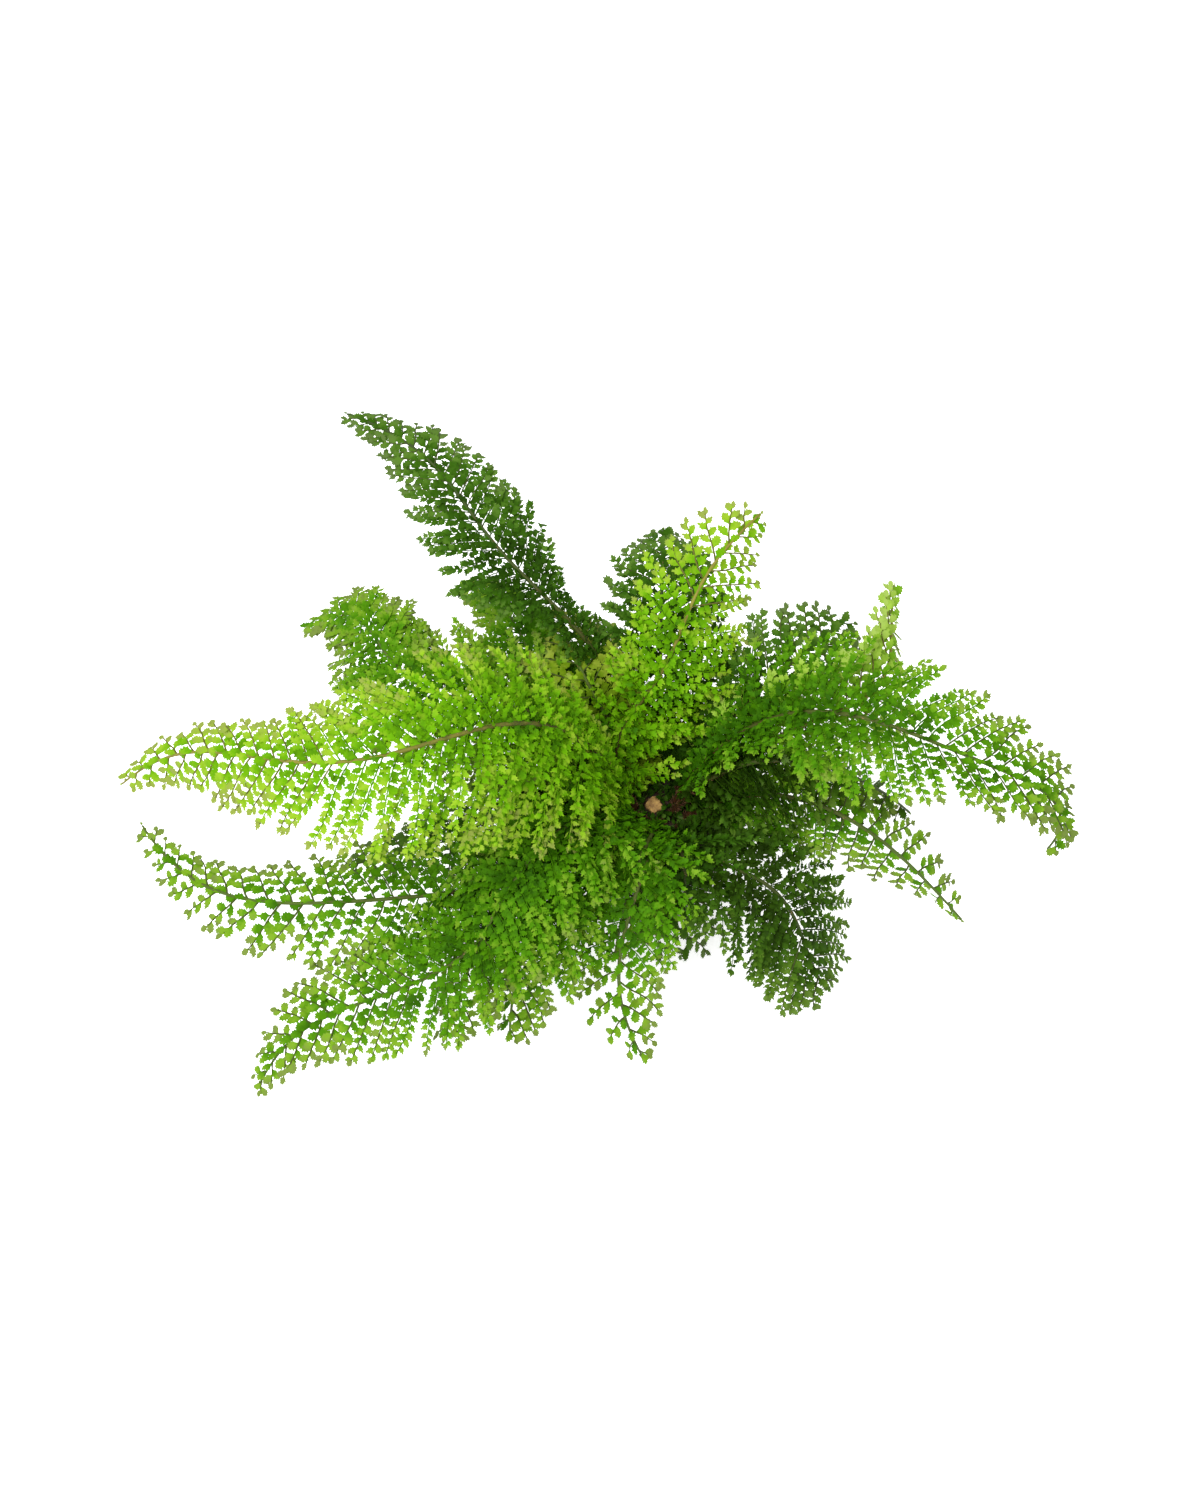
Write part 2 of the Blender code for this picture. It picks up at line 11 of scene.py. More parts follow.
import bpy
import numpy as np
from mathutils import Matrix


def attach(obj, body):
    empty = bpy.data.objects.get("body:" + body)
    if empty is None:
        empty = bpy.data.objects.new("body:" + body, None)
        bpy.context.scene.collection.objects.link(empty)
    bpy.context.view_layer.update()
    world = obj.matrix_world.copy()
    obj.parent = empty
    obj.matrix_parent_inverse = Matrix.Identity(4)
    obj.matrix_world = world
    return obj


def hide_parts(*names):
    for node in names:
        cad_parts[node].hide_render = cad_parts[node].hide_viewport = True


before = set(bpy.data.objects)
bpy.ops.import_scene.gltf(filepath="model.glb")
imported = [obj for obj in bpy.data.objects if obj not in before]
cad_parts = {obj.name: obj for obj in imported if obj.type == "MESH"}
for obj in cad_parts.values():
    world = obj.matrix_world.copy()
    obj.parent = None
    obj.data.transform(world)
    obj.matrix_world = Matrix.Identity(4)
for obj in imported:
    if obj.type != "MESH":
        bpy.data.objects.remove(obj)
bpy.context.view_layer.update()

MM = 0.001

# The crown and the pot, as in the solids.
POT_HEIGHT = 0.100
POT_RIM_RADIUS = 0.056
POT_RIM_HEIGHT = 0.012
POT_RIM_LIP = 0.0022
POT_BASE_RADIUS = 0.040
POT_WALL = 0.0018
POT_FLOOR = 0.0025
DRAIN_COUNT = 4
DRAIN_RADIUS = 0.004
DRAIN_CIRCLE = 0.025
SOIL_TOP = 0.0920
CROWN_RADIUS = 0.026
CROWN_TOP = 0.1060
CROWN_DROP = 0.0100
HOLE_RADIUS = 0.0024
HOLE_DEPTH = 0.007
RING_RADIUS = {1: 0.0115, 2: 0.0190}
STUMP_RADIUS = 0.0052
STUMP_TOP = 0.1105
STUB_RADIUS = 0.0024
STUB_LENGTH = 0.013
STUB_CIRCLE = 0.0235
STUB_LEAN = 40
STUB_ANGLES = (22, 62, 105, 208, 236, 257, 326)
FALLEN_STUB_START = (0.006, -0.016, 0.0985)
FALLEN_STUB_END = (0.021, -0.030, 0.1005)
FALLEN_STUB_RADIUS = 0.0035

# What only the looks have on the pot, soil and crown. Edges are (outward, upward) offsets in metres.
POT_STEPS = 96
POT_EDGE_ROUND = 0.0007
POT_RIM_UNDERSIDE = ((-0.0004, 0.0008), (-0.0010, 0.0))
POT_RIM_FILLET = 0.002
POT_GROOVES = (0.0692, 0.0192)
POT_GROOVE_HALF = 0.0008
POT_GROOVE_DEPTH = 0.0003
POT_BASE_EDGE = ((0.0, 0.0022), (-0.0008, 0.0006), (-0.0022, 0.0), (-0.0040, 0.0), (-0.0046, 0.0006))
POT_SHARP_ANGLE = 38
DRAIN_STEPS = 24
DRAIN_CUT = 0.01
ROUND_STEPS = 110
SOIL_EDGE_DEPTH = 0.008
SOIL_SIDE_DEPTH = 0.012
SOIL_FOOT = 0.003
SOIL_GAP = 0.0003
SOIL_LIFT = 0.0006
SOIL_ROUGHNESS = 0.0011
# Distances from the axis, and how far the soil has sunk there.
SOIL_FALL = ((0.0, 0.0275, 0.045, 0.0525), (0.0, 0.0, -0.0015, -0.003))
CRUMB_COUNT = 900
CHAFF_COUNT = 900
YOUNG_LEAFLET_COUNT = 700
FALLEN_STUB_CLEARANCE = 0.0065
STUB_ROWS = 9
STUB_SIDES = 14

# Material slots of a frond and of the crown.
LEAF_SLOT, RACHIS_SLOT, SCALE_SLOT = 0, 1, 2
BARK_SLOT, CUT_SLOT, DEAD_SLOT, YOUNG_LEAF_SLOT = 0, 1, 3, 4
PLAIN_TONE = 0.5

# These tables name fronds by number. First, those with a bare stalk, and those whose pinnae hang
# edge-on, with their twist in degrees.
BARE_STALKS = (7, 12, 18, 19)
HANG = {18: 62}

# Shares along the blade and how long the pinnae of one side are there: 1 is the right, -1 the left.
SIDE_LENGTHS = {
    (1, 1): ((0.0, 0.35, 0.45, 0.60, 0.85), (0.30, 1.0, 0.95, 0.72, 0.85)),
    (3, 1): ((0.0, 0.03, 0.20, 0.30), (0.60, 0.42, 0.42, 1.0)),
    (2, -1): ((0.0, 0.10, 0.50, 0.65), (0.80, 0.70, 0.70, 1.0)),
    (4, 1): ((0.0, 0.32, 0.44), (0.25, 0.30, 1.0)),
    (4, -1): ((0.0, 0.32, 0.44), (0.25, 0.30, 1.0)),
    (12, -1): ((0.0, 0.25, 0.45), (0.25, 0.45, 1.0)),
    (19, -1): ((0.0, 0.25, 0.50), (0.25, 0.45, 1.0)),
}

# Fronds whose leaf is lighter, and fronds whose pinnae and pinnules stand closer or wider apart.
LIGHTER = {1: 0.20, 2: 0.12, 7: 0.08, 9: 0.26, 16: 0.25}
CLOSER = {2: 1.14, 3: 1.08, 4: 0.90, 6: 1.12, 8: 0.78, 9: 0.74, 10: 1.15, 11: 0.88, 17: 0.88}

# How much further towards its tip a frond stays close and loose.
LUSHER = {2: 0.12, 4: 0.08, 6: -0.12, 7: 0.12, 8: 0.20, 9: 0.25, 11: 0.15, 12: 0.12, 13: -0.15,
          17: 0.15}

# How far along the blade small pinnules cover the rachis.
COVERED_SHARE = 0.22
COVERED_SHARES = {2: 0.60, 3: 0.34, 7: 0.80, 12: 0.60, 18: 0.50}

# The fronds' midribs, as in the solids. Angles are in degrees, lengths in millimetres.
Frond = namedtuple("Frond", "heading reach tip_height launch rise dive fall bow sway curl"
                            " half_width taper fold roll ring root tint")
# A dark tint is partly older leaf and partly painted shade, on fronds that lie under others.
FROND_ROWS = {
    1: (180, 329, 141, 78, 332, 58, 144, 38, -3, -13, 74, 1.1, 0, 25, 1, 202, "bright"),
    2: (65, 148, 240, 84, 88, 6, 97, 16, 4, 6, 57, 2.4, -6, -40, 1, 175, "bright"),
    3: (352, 246, 119, 73, 245, 104, 115, 7, 9, 7, 60, 1.5, 16, 0, 1, 5, "green"),
    4: (131, 294, 214, 65, 166, 19, 114, -10, -2, -7, 50, 2.0, 5, -10, 2, 125, "dark"),
    5: (214, 297, 52, 49, 137, 52, 96, 20, 4, -9, 50, 2.6, 12, 0, 2, 222, "green"),
    6: (181, 325, 88, 55, 120, 19, 63, 78, 1, 6, 52, 1.6, -3, 0, 2, 193, "green"),
    7: (229, 198, 87, 69, 168, 60, 102, -10, 0, 0, 54, 2.6, -4, 0, 1, 229, "green"),
    8: (133, 175, 163, 57, 104, 22, 70, 5, 2, -3, 36, 2.2, 4, 9, 2, 142, "green"),
    9: (154, 247, 138, 64, 178, 52, 76, 15, 5, -13, 55, 2.0, 0, 0, 2, 160, "green"),
    10: (267, 146, 49, 70, 132, 71, 82, -14, 6, -1, 41, 2.6, 0, 0, 2, 278, "green"),
    11: (318, 147, 42, 60, 108, 74, 60, -6, -6, -5, 56, 3.0, 0, 0, 2, 318, "dark"),
    12: (237, 165, 70, 71, 138, 75, 90, -12, 0, 0, 54, 2.6, 0, 0, 1, 262, "green"),
    13: (344, 205, 55, 62, 130, 50, 80, 10, 0, 0, 42, 2.4, -30, -60, 2, 340, "green"),
    14: (36, 181, 201, 66, 202, 22, 53, -51, 2, 3, 44, 2.0, 0, -50, 2, 5, "bright"),
    15: (38, 150, 185, 70, 150, 25, 60, -12, 0, 0, 52, 2.6, 6, 0, 2, 40, "green"),
    16: (122, 115, 178, 68, 105, 15, 50, 10, 0, 0, 50, 2.6, 0, 0, 1, 121, "green"),
    17: (88, 152, 190, 68, 130, 30, 60, 0, 0, 0, 50, 2.4, 0, 0, 2, 85, "dark"),
    18: (358, 160, 110, 74, 150, 60, 70, 0, 0, 0, 46, 2.4, -50, 0, 1, 335, "dark"),
    19: (256, 104, 105, 60, 110, 60, 60, 0, 0, 0, 44, 2.0, -10, 0, 1, 295, "green"),
    20: (191, 197, 100, 62, 120, 15, 70, 10, 0, 0, 50, 2.0, -25, 30, 2, 176, "dark"),
    21: (284, 88, 75, 62, 100, 70, 60, 0, 0, 0, 50, 2.4, 0, 0, 2, 297, "dark"),
}
LENGTHS = ("reach", "tip_height", "rise", "fall", "bow", "sway", "curl", "half_width")


def in_metres(frond):
    return frond._replace(**{name: getattr(frond, name) * MM for name in LENGTHS})


FRONDS = {number: in_metres(Frond(*row)) for number, row in FROND_ROWS.items()}
FROND_SEED = 99

STALK_SHARE = 0.12
LEAFY_STALK_SHARE = 0.05
WIDEST_SHARE = 0.20
ROOT_WIDTH_SHARE = 0.75
TIP_WIDTH_SHARE = 0.10
PINNA_GAP = 0.0120
PINNULE_GAP = 0.0047
PINNULE_LENGTH = 0.0102
SMALL_PINNULE_LENGTH = 0.0040
RACHIS_RADIUS = 0.0016
RACHIS_TIP_RADIUS = 0.0007
COSTA_RADIUS = 0.00080
COSTA_TIP_RADIUS = 0.00048
PINNULE_CONTRAST = 0.26
RACHIS_ROWS = 60
RACHIS_SIDES = 8
# Numbers of scales on the rachis, how far along it they reach, and their length.
RACHIS_SCALES = ((200, 0.30, 0.0055), (160, 0.95, 0.0028))
FULL_HALF_WIDTH = 0.055
LAST_PINNA_SHARE = 0.985
SHORTEST_PINNA = 0.004
LUSH_END = 0.85
LUSH_FADE = 0.60
LOOSE_BEYOND_LUSH = 0.20
OPEN_LIGHTER = 0.40
# How much darker the pinnae low on the stalk are: painted shade by the crown.
LOW_SHADE = 0.3
COVER_COUNT = 4

# How far the pinnae turn their faces to the sky.
LEVEL = 0.85
LEVELS = {13: 0.1, 18: 0.0}

UP = np.array([0.0, 0.0, 1.0])


def linear(red, green, blue):
    """Linear colour from 0-255 screen values."""
    return tuple(((value / 255 + 0.055) / 1.055) ** 2.4 if value > 10 else value / 255 / 12.92
                 for value in (red, green, blue))


def unit(vectors):
    return vectors / np.linalg.norm(vectors, axis=-1, keepdims=True)


def square_to(axes, vectors):
    """Directions square to the axes, as near as can be to the vectors."""
    return unit(vectors - axes * (axes * vectors).sum(axis=-1, keepdims=True))


def level_direction(angle):
    return np.stack([np.cos(angle), np.sin(angle), np.zeros_like(angle)], -1)


class Pile:
    """Points and triangles of one piece, gathered from many small forms."""

    def __init__(self):
        self.points, self.triangles, self.slots, self.tones, self.rims = [], [], [], [], []
        self.count = 0

    def add(self, points, triangles, slot, tone, rim=None):
        """tone is from 0, old or shaded, to 1, young. rim marks the points of a sharp outline."""
        number = len(points)
        self.points.append(points)
        self.triangles.append(triangles + self.count)
        self.slots.append(np.full(len(triangles), slot))
        self.tones.append(np.broadcast_to(tone, number))
        self.rims.append(np.zeros(number, bool) if rim is None else rim)
        self.count += number

    def build(self, name, materials):
        points, triangles = np.vstack(self.points), np.vstack(self.triangles)
        mesh = bpy.data.meshes.new(name)
        mesh.vertices.add(len(points))
        mesh.vertices.foreach_set("co", points.ravel())
        mesh.loops.add(3 * len(triangles))
        mesh.loops.foreach_set("vertex_index", triangles.ravel())
        mesh.polygons.add(len(triangles))
        mesh.polygons.foreach_set("loop_start", np.arange(0, 3 * len(triangles), 3))
        mesh.update(calc_edges=True)
        mesh.polygons.foreach_set("material_index", np.concatenate(self.slots))
        mesh.polygons.foreach_set("use_smooth", np.ones(len(triangles), bool))
        tone = mesh.attributes.new("tone", "FLOAT", "POINT")
        tone.data.foreach_set("value", np.concatenate(self.tones))
        ends = np.empty(2 * len(mesh.edges), int)
        mesh.edges.foreach_get("vertices", ends)
        rim = np.concatenate(self.rims)[ends.reshape(-1, 2)].all(axis=1)
        sharp = mesh.attributes.new("sharp_edge", "BOOLEAN", "EDGE")
        sharp.data.foreach_set("value", rim)
        for material in materials:
            mesh.materials.append(material)
        item = bpy.data.objects.new(name, mesh)
        bpy.context.scene.collection.objects.link(item)
        return item


def closed_faces(rows, sides):
    """Triangles of a closed form: rows of points, then one point for each end."""
    i, j = np.meshgrid(np.arange(rows - 1), np.arange(sides), indexing="ij")
    a, b = i * sides + j, i * sides + (j + 1) % sides
    c, d = a + sides, b + sides
    k = np.arange(sides)
    first, last, top = rows * sides, rows * sides + 1, (rows - 1) * sides
    wall = [np.stack(corners, -1).reshape(-1, 3) for corners in ([a, b, d], [a, d, c])]
    start = np.stack([np.full(sides, first), (k + 1) % sides, k], -1)
    end = np.stack([np.full(sides, last), top + k, top + (k + 1) % sides], -1)
    return np.vstack([*wall, start, end])


def tube(path, radii, sides, across):
    """Points and triangles of a closed round tube along the path. across is square to it."""
    ahead = unit(np.gradient(path, axis=0))
    across = square_to(ahead, across)
    other = np.cross(ahead, across)
    angles = np.linspace(0, 2 * math.pi, sides, endpoint=False)
    cosines, sines = np.cos(angles)[:, None], np.sin(angles)[:, None]
    ring = cosines * across[:, None] + sines * other[:, None]
    points = (path[:, None] + ring * np.asarray(radii)[:, None, None]).reshape(-1, 3)
    return np.vstack([points, path[0], path[-1]]), closed_faces(len(path), sides)


def pinnule_form(outline, seed):
    """One pinnule of length 1: points, triangles and which points are the rim.

    The side towards the pinna's tip (+Y) has the ear and the larger teeth. It is one thin layer,
    raised along the vein.
    """
    random = np.random.default_rng(seed)
    outline = np.array(outline)
    outline[2:-2] += random.uniform(-0.03, 0.03, (len(outline) - 4, 2))
    veins = np.array([(0.26, 0.05), (0.52, 0.07), (0.76, 0.06)])
    rim = len(outline)
    nearest = np.array([0 if x < 0.40 else 1 if x < 0.66 else 2 for x in outline[:, 0]])
    triangles = []
    for i in range(rim):
        j = (i + 1) % rim
        a, b = nearest[i], nearest[j]
        triangles.append((i, j, rim + a))
        while a != b:
            step = 1 if b > a else -1
            triangles.append((j, rim + a + step, rim + a))
            a += step
    points = np.vstack([outline, veins])
    cup, dip = random.uniform(0.15, 0.45), random.uniform(0.05, 0.25)
    height = -cup * (points[:, 1] - 0.06) ** 2 - dip * points[:, 0] ** 2
    height[rim:] += 0.035
    return np.column_stack([points, height]), np.array(triangles), np.arange(len(points)) < rim


BROAD = [(0.00, -0.06), (0.12, -0.08), (0.28, -0.17), (0.41, -0.27), (0.48, -0.17), (0.60, -0.28),
         (0.67, -0.15), (0.80, -0.21), (0.83, -0.07), (0.98, -0.06), (0.93, 0.04), (1.02, 0.13),
         (0.87, 0.16), (0.91, 0.30), (0.76, 0.25), (0.73, 0.41), (0.60, 0.28), (0.51, 0.47),
         (0.42, 0.31), (0.29, 0.38), (0.19, 0.17), (0.09, 0.08), (0.00, 0.06)]
NARROW = [(0.00, -0.05), (0.15, -0.07), (0.34, -0.18), (0.45, -0.12), (0.57, -0.21), (0.64, -0.10),
          (0.80, -0.17), (0.83, -0.05), (0.98, -0.03), (0.92, 0.05), (1.00, 0.14), (0.84, 0.14),
          (0.85, 0.28), (0.71, 0.20), (0.63, 0.38), (0.52, 0.26), (0.40, 0.36), (0.24, 0.16),
          (0.11, 0.08), (0.00, 0.05)]
SMALL = [(0.00, -0.02), (0.20, -0.04), (0.42, -0.24), (0.56, -0.13), (0.70, -0.24), (0.78, -0.07),
         (0.98, -0.06), (1.00, 0.12), (0.78, 0.16), (0.76, 0.34), (0.58, 0.24), (0.44, 0.44),
         (0.30, 0.22), (0.14, 0.05), (0.00, 0.02)]
PINNULES = [pinnule_form(outline, seed) for seed, outline in enumerate((BROAD, NARROW) * 3, 1)]
SMALL_PINNULE = pinnule_form(SMALL, 7)


def add_pinnules(pile, roots, along, toward, sizes, tones, random, plain=0.0, slot=LEAF_SLOT,
                 breadth=1.0):
    """Places pinnules. along is each one's direction, toward is the side that bears the ear.

    plain is the share of them that get the small form whatever their size, and breadth narrows them.
    """
    along = unit(along)
    toward = square_to(along, toward)
    above = np.cross(along, toward)
    kinds = random.integers(0, len(PINNULES), len(roots))
    kinds[(sizes < SMALL_PINNULE_LENGTH) | (random.random(len(roots)) < plain)] = len(PINNULES)
    for kind, form in enumerate(PINNULES + [SMALL_PINNULE]):
        chosen = kinds == kind
        number = int(chosen.sum())
        if not number:
            continue
        shape, triangles, rim = form
        axes = np.stack([along[chosen], toward[chosen] * breadth, above[chosen]], axis=1)
        points = np.einsum("pk,nkc->npc", shape, axes) * sizes[chosen][:, None, None]
        points += roots[chosen][:, None]
        shades = tones[chosen][:, None] + PINNULE_CONTRAST * (shape[:, 0] - 0.5)
        flip = np.linalg.det(axes) < 0
        faces = triangles[None] + np.arange(number)[:, None, None] * len(shape)
        faces = np.where(flip[:, None, None], faces[:, :, ::-1], faces)
        pile.add(points.reshape(-1, 3), faces.reshape(-1, 3), slot,
                 shades.ravel(), np.tile(rim, number))


def add_chaff(pile, foot, along, across, out, size, half_width, bulge_place, bulge, tones):
    """Papery pointed scales that bulge away from what they grow on.

    half_width, bulge_place and bulge are shares of each one's size.
    """
    number, width = len(foot), size * half_width
    points = np.stack([foot - across * width, foot + across * width, foot + along * size,
                       foot + along * size * bulge_place + out * size * bulge], axis=1)
    faces = np.array([(0, 1, 3), (1, 2, 3), (2, 0, 3), (1, 0, 2)])
    triangles = faces[None] + np.arange(number)[:, None, None] * 4
    pile.add(points.reshape(-1, 3), triangles.reshape(-1, 3), SCALE_SLOT,
             np.repeat(tones, 4), np.ones(4 * number, bool))


def crown_height(radius):
    return CROWN_TOP - CROWN_DROP * (radius / CROWN_RADIUS) ** 2


class Midrib:
    """A frond's midrib above the crown, with the directions of its blade along it."""

    SAMPLES = 81
    START_LIFT = 0.001
    SLOPE_STEP = 0.02

    def __init__(self, frond):
        t = np.linspace(0.0, 1.0, self.SAMPLES)[:, None]
        ahead = level_direction(math.radians(frond.heading))
        self.right = np.cross(ahead, UP)
        self.roll = math.radians(frond.roll)
        launch, dive = math.radians(frond.launch), math.radians(frond.dive)
        ring = RING_RADIUS[frond.ring]
        self.mouth = crown_height(ring - HOLE_RADIUS)
        start = ring * level_direction(math.radians(frond.root)) + UP * (self.mouth + self.START_LIFT)
        end = ahead * frond.reach + UP * frond.tip_height
        first = start + frond.rise * (ahead * math.cos(launch) + UP * math.sin(launch))
        last = end + frond.fall * (-ahead * math.cos(dive) + UP * math.sin(dive))
        bend = (1 - t) ** 3 * start + 3 * (1 - t) ** 2 * t * first
        bend = bend + 3 * (1 - t) * t ** 2 * last + t ** 3 * end
        side = frond.bow * np.sin(math.pi * t) + frond.sway * np.sin(2 * math.pi * t)
        side += frond.curl * np.sin(3 * math.pi * t)
        self.points = bend - self.right * side
        steps = np.linalg.norm(np.diff(self.points, axis=0), axis=1)
        self.length = steps.sum()
        self.shares = np.concatenate([[0.0], np.cumsum(steps)]) / self.length

    def place(self, shares):
        return np.stack([np.interp(shares, self.shares, self.points[:, i]) for i in range(3)], axis=-1)

    def at(self, shares):
        """Places, directions ahead, directions to the blade's right and the blade's upward normals."""
        shares = np.atleast_1d(shares)
        ahead = unit(self.place(shares + self.SLOPE_STEP) - self.place(shares - self.SLOPE_STEP))
        right = square_to(ahead, self.right)
        normal = np.cross(right, ahead)
        roll = (self.roll * shares)[:, None]
        turned = right * np.cos(roll) + normal * np.sin(roll)
        return self.place(shares), ahead, turned, np.cross(turned, ahead)


def width_share(share, power):
    """How wide the blade is along its length: short at its root and widest early."""
    if share < WIDEST_SHARE:
        return ROOT_WIDTH_SHARE + (1 - ROOT_WIDTH_SHARE) * math.sin(share / WIDEST_SHARE * math.pi / 2)
    taper = ((share - WIDEST_SHARE) / (1 - WIDEST_SHARE)) ** power
    return 1 - (1 - TIP_WIDTH_SHARE) * taper


def lushness(blade_share):
    """How close and loose the pinnules stand: 1 near the blade's root, 0 near its tip."""
    rest = min(1.0, max(0.0, (LUSH_END - blade_share) / LUSH_FADE))
    return rest * rest * (3 - 2 * rest)


# How one frond holds its pinnae: fold lifts them, hang turns them edge-on, level turns their faces to
# the sky, and close narrows the gaps between them and between their pinnules.
Habit = namedtuple("Habit", "fold hang level close")

# One pinna: its side (1 right, -1 left), its angle to the rachis, its length, how close (lush) and how
# loose (free) its pinnules stand, how much darker its leaf is, and how many pinnules cover the rachis.
Branch = namedtuple("Branch", "side angle length lush free shade cover")

# Random turns of a pinna in degrees, and the share of each that even a stiff pinna has.
ANGLE_TURN, LIFT_TURN, TWIST_TURN = (9, 0.4), (14, 0.3), (20, 0.3)

# How far a costa bends, as shares of its length.
COSTA_BEND = (0.02, 0.16)
COSTA_SAG = (0.02, 0.14)
LUSH_COSTA_SAG = 0.30
COSTA_WAVE = 0.03

# The costa's own form.
LONG_COSTA = 0.02
LONG_COSTA_ROWS, SHORT_COSTA_ROWS = 7, 4
COSTA_SIDES = 4
FULL_COSTA_LENGTH = 0.04
GREEN_COSTA_LUSHNESS = 0.6
GREEN_COSTA_TONE, BROWN_COSTA_TONE = 0.25, 0.6

# What an open pinna has, and what a fully lush one has more.
LEVEL_SHARE = (1.0, -0.65)
COSTA_FULLNESS = (1.0, -0.55)
GAP_SHARE = (1.66, -1.09)
SIZE_SHARE = (1.0, -0.39)
END_SIZE_SHARE = (0.62, -0.10)
BREADTH = (1.12, -0.10)
# Pinnule tones rise from the rachis to the pinna's tip; the darker end by the rachis is painted shade
# among the crowded pinnae.
ROOT_TONE = (0.12, -0.06)
TIP_TONE_GAIN = (0.58, -0.02)
STEP_BY_LUSHNESS = (1.36, -0.82)

# What a stiff pinna has, and what a fully free one has more, in degrees.
LEAN_SPREAD = (6, 18)
TILT_SPREAD = (9, 29)

# What the shortest or narrowest has, and what a full one has more.
COSTA_BY_LENGTH = (0.6, 0.4)
SCALE_BY_LENGTH = (0.78, 0.22)
STEP_BY_WIDTH = (0.62, 0.38)

# What a pinna at the blade's root has, and what one at its tip has more, in degrees.
PINNA_ANGLE = (77, -33)

# What a pinnule at the pinna's root has, and what one at its tip has more. LEAN is in degrees.
LEAN = (58, -18)
NARROWING = (1.0, -0.30)

FULL_PINNA_LENGTH = 0.035
FIRST_PINNULE = 0.0012
SIZE_SPREAD = (0.86, 1.12)
LUSH_PLAIN_SHARE = 0.9
LUSH_NOD = 6
ROOT_LIFT = 0.0014
ROOT_LIFT_FADE = 0.006
OFFSET_SPREAD = 0.0014
TONE_SPREAD = 0.18
END_TONE = 0.70
COSTA_SLOPE_STEP = 0.0005


def ramped(pair, share):
    """The pair's first number, and as much of the second as share says."""
    return pair[0] + pair[1] * share


def random_turn(turn, free, random):
    """A random angle in radians, wider on a looser pinna."""
    spread, stiff_share = turn
    return math.radians(random.uniform(-spread, spread)) * (stiff_share + (1 - stiff_share) * free)


class Costa:
    """The line of one pinna away from the rachis, with the directions of its leaf."""

    def __init__(self, root, directions, habit, branch, random):
        ahead, right, normal = directions
        angle = branch.angle + random_turn(ANGLE_TURN, branch.free, random)
        lift = habit.fold + random_turn(LIFT_TURN, branch.free, random)
        outward = branch.side * right * math.sin(angle) + ahead * math.cos(angle)
        outward = outward * math.cos(lift) + normal * math.sin(lift)
        upward = square_to(outward, ahead)
        above = np.cross(outward, upward) * branch.side
        twist = habit.hang + random_turn(TWIST_TURN, branch.free, random)
        twist += habit.level * ramped(LEVEL_SHARE, branch.lush) * math.atan2(-upward @ UP, above @ UP)
        self.root, self.outward, self.length = root, outward, branch.length
        self.upward = upward * math.cos(twist) + above * math.sin(twist)
        self.above = above * math.cos(twist) - upward * math.sin(twist)
        self.droop, self.forward = random.uniform(*COSTA_BEND), random.uniform(*COSTA_BEND)
        self.sag = random.uniform(*COSTA_SAG) + LUSH_COSTA_SAG * branch.lush ** 2 * random.random()
        self.wave = random.uniform(-COSTA_WAVE, COSTA_WAVE)

    def at(self, distances):
        """Places at these distances from the rachis."""
        bend = (distances / self.length) ** 2 * self.length
        side_wave = np.sin(distances / self.length * 2 * math.pi) * self.wave * self.length
        return (self.root + self.outward * distances[:, None]
                + self.upward * (self.forward * bend + side_wave)[:, None]
                - self.above * (self.droop * bend)[:, None] - UP * (self.sag * bend)[:, None])


def add_costa(pile, costa, lush):
    """The costa itself: green under a lush leaf, and brown and bare on an open one."""
    count = LONG_COSTA_ROWS if costa.length > LONG_COSTA else SHORT_COSTA_ROWS
    rows = np.linspace(0.0, costa.length, count)
    radii = COSTA_RADIUS + (COSTA_TIP_RADIUS - COSTA_RADIUS) * rows / costa.length
    radii = radii * ramped(COSTA_BY_LENGTH, min(1.0, costa.length / FULL_COSTA_LENGTH))
    radii = radii * ramped(COSTA_FULLNESS, lush)
    points, triangles = tube(costa.at(rows), radii, COSTA_SIDES, np.tile(costa.above, (count, 1)))
    if lush > GREEN_COSTA_LUSHNESS:
        pile.add(points, triangles, LEAF_SLOT, GREEN_COSTA_TONE)
    else:
        pile.add(points, triangles, RACHIS_SLOT, BROWN_COSTA_TONE)


def cover_pinnules(costa, ahead, count, random):
    """Places, directions, ear sides, sizes and tones of small pinnules over the rachis."""
    back = random.uniform(-0.8, 0.8, (count, 1)) * ahead
    back = back - random.uniform(0.1, 0.7, (count, 1)) * costa.outward
    places = costa.root + costa.above * random.uniform(0.0012, 0.0026, (count, 1))
    along = unit(back) + costa.above * random.uniform(0.0, 0.5, (count, 1))
    ear_side = np.tile(costa.upward, (count, 1)) + costa.outward * 0.3
    sizes, tones = random.uniform(0.0040, 0.0066, count), random.uniform(0.0, 0.45, count)
    return places, along, ear_side, sizes, tones


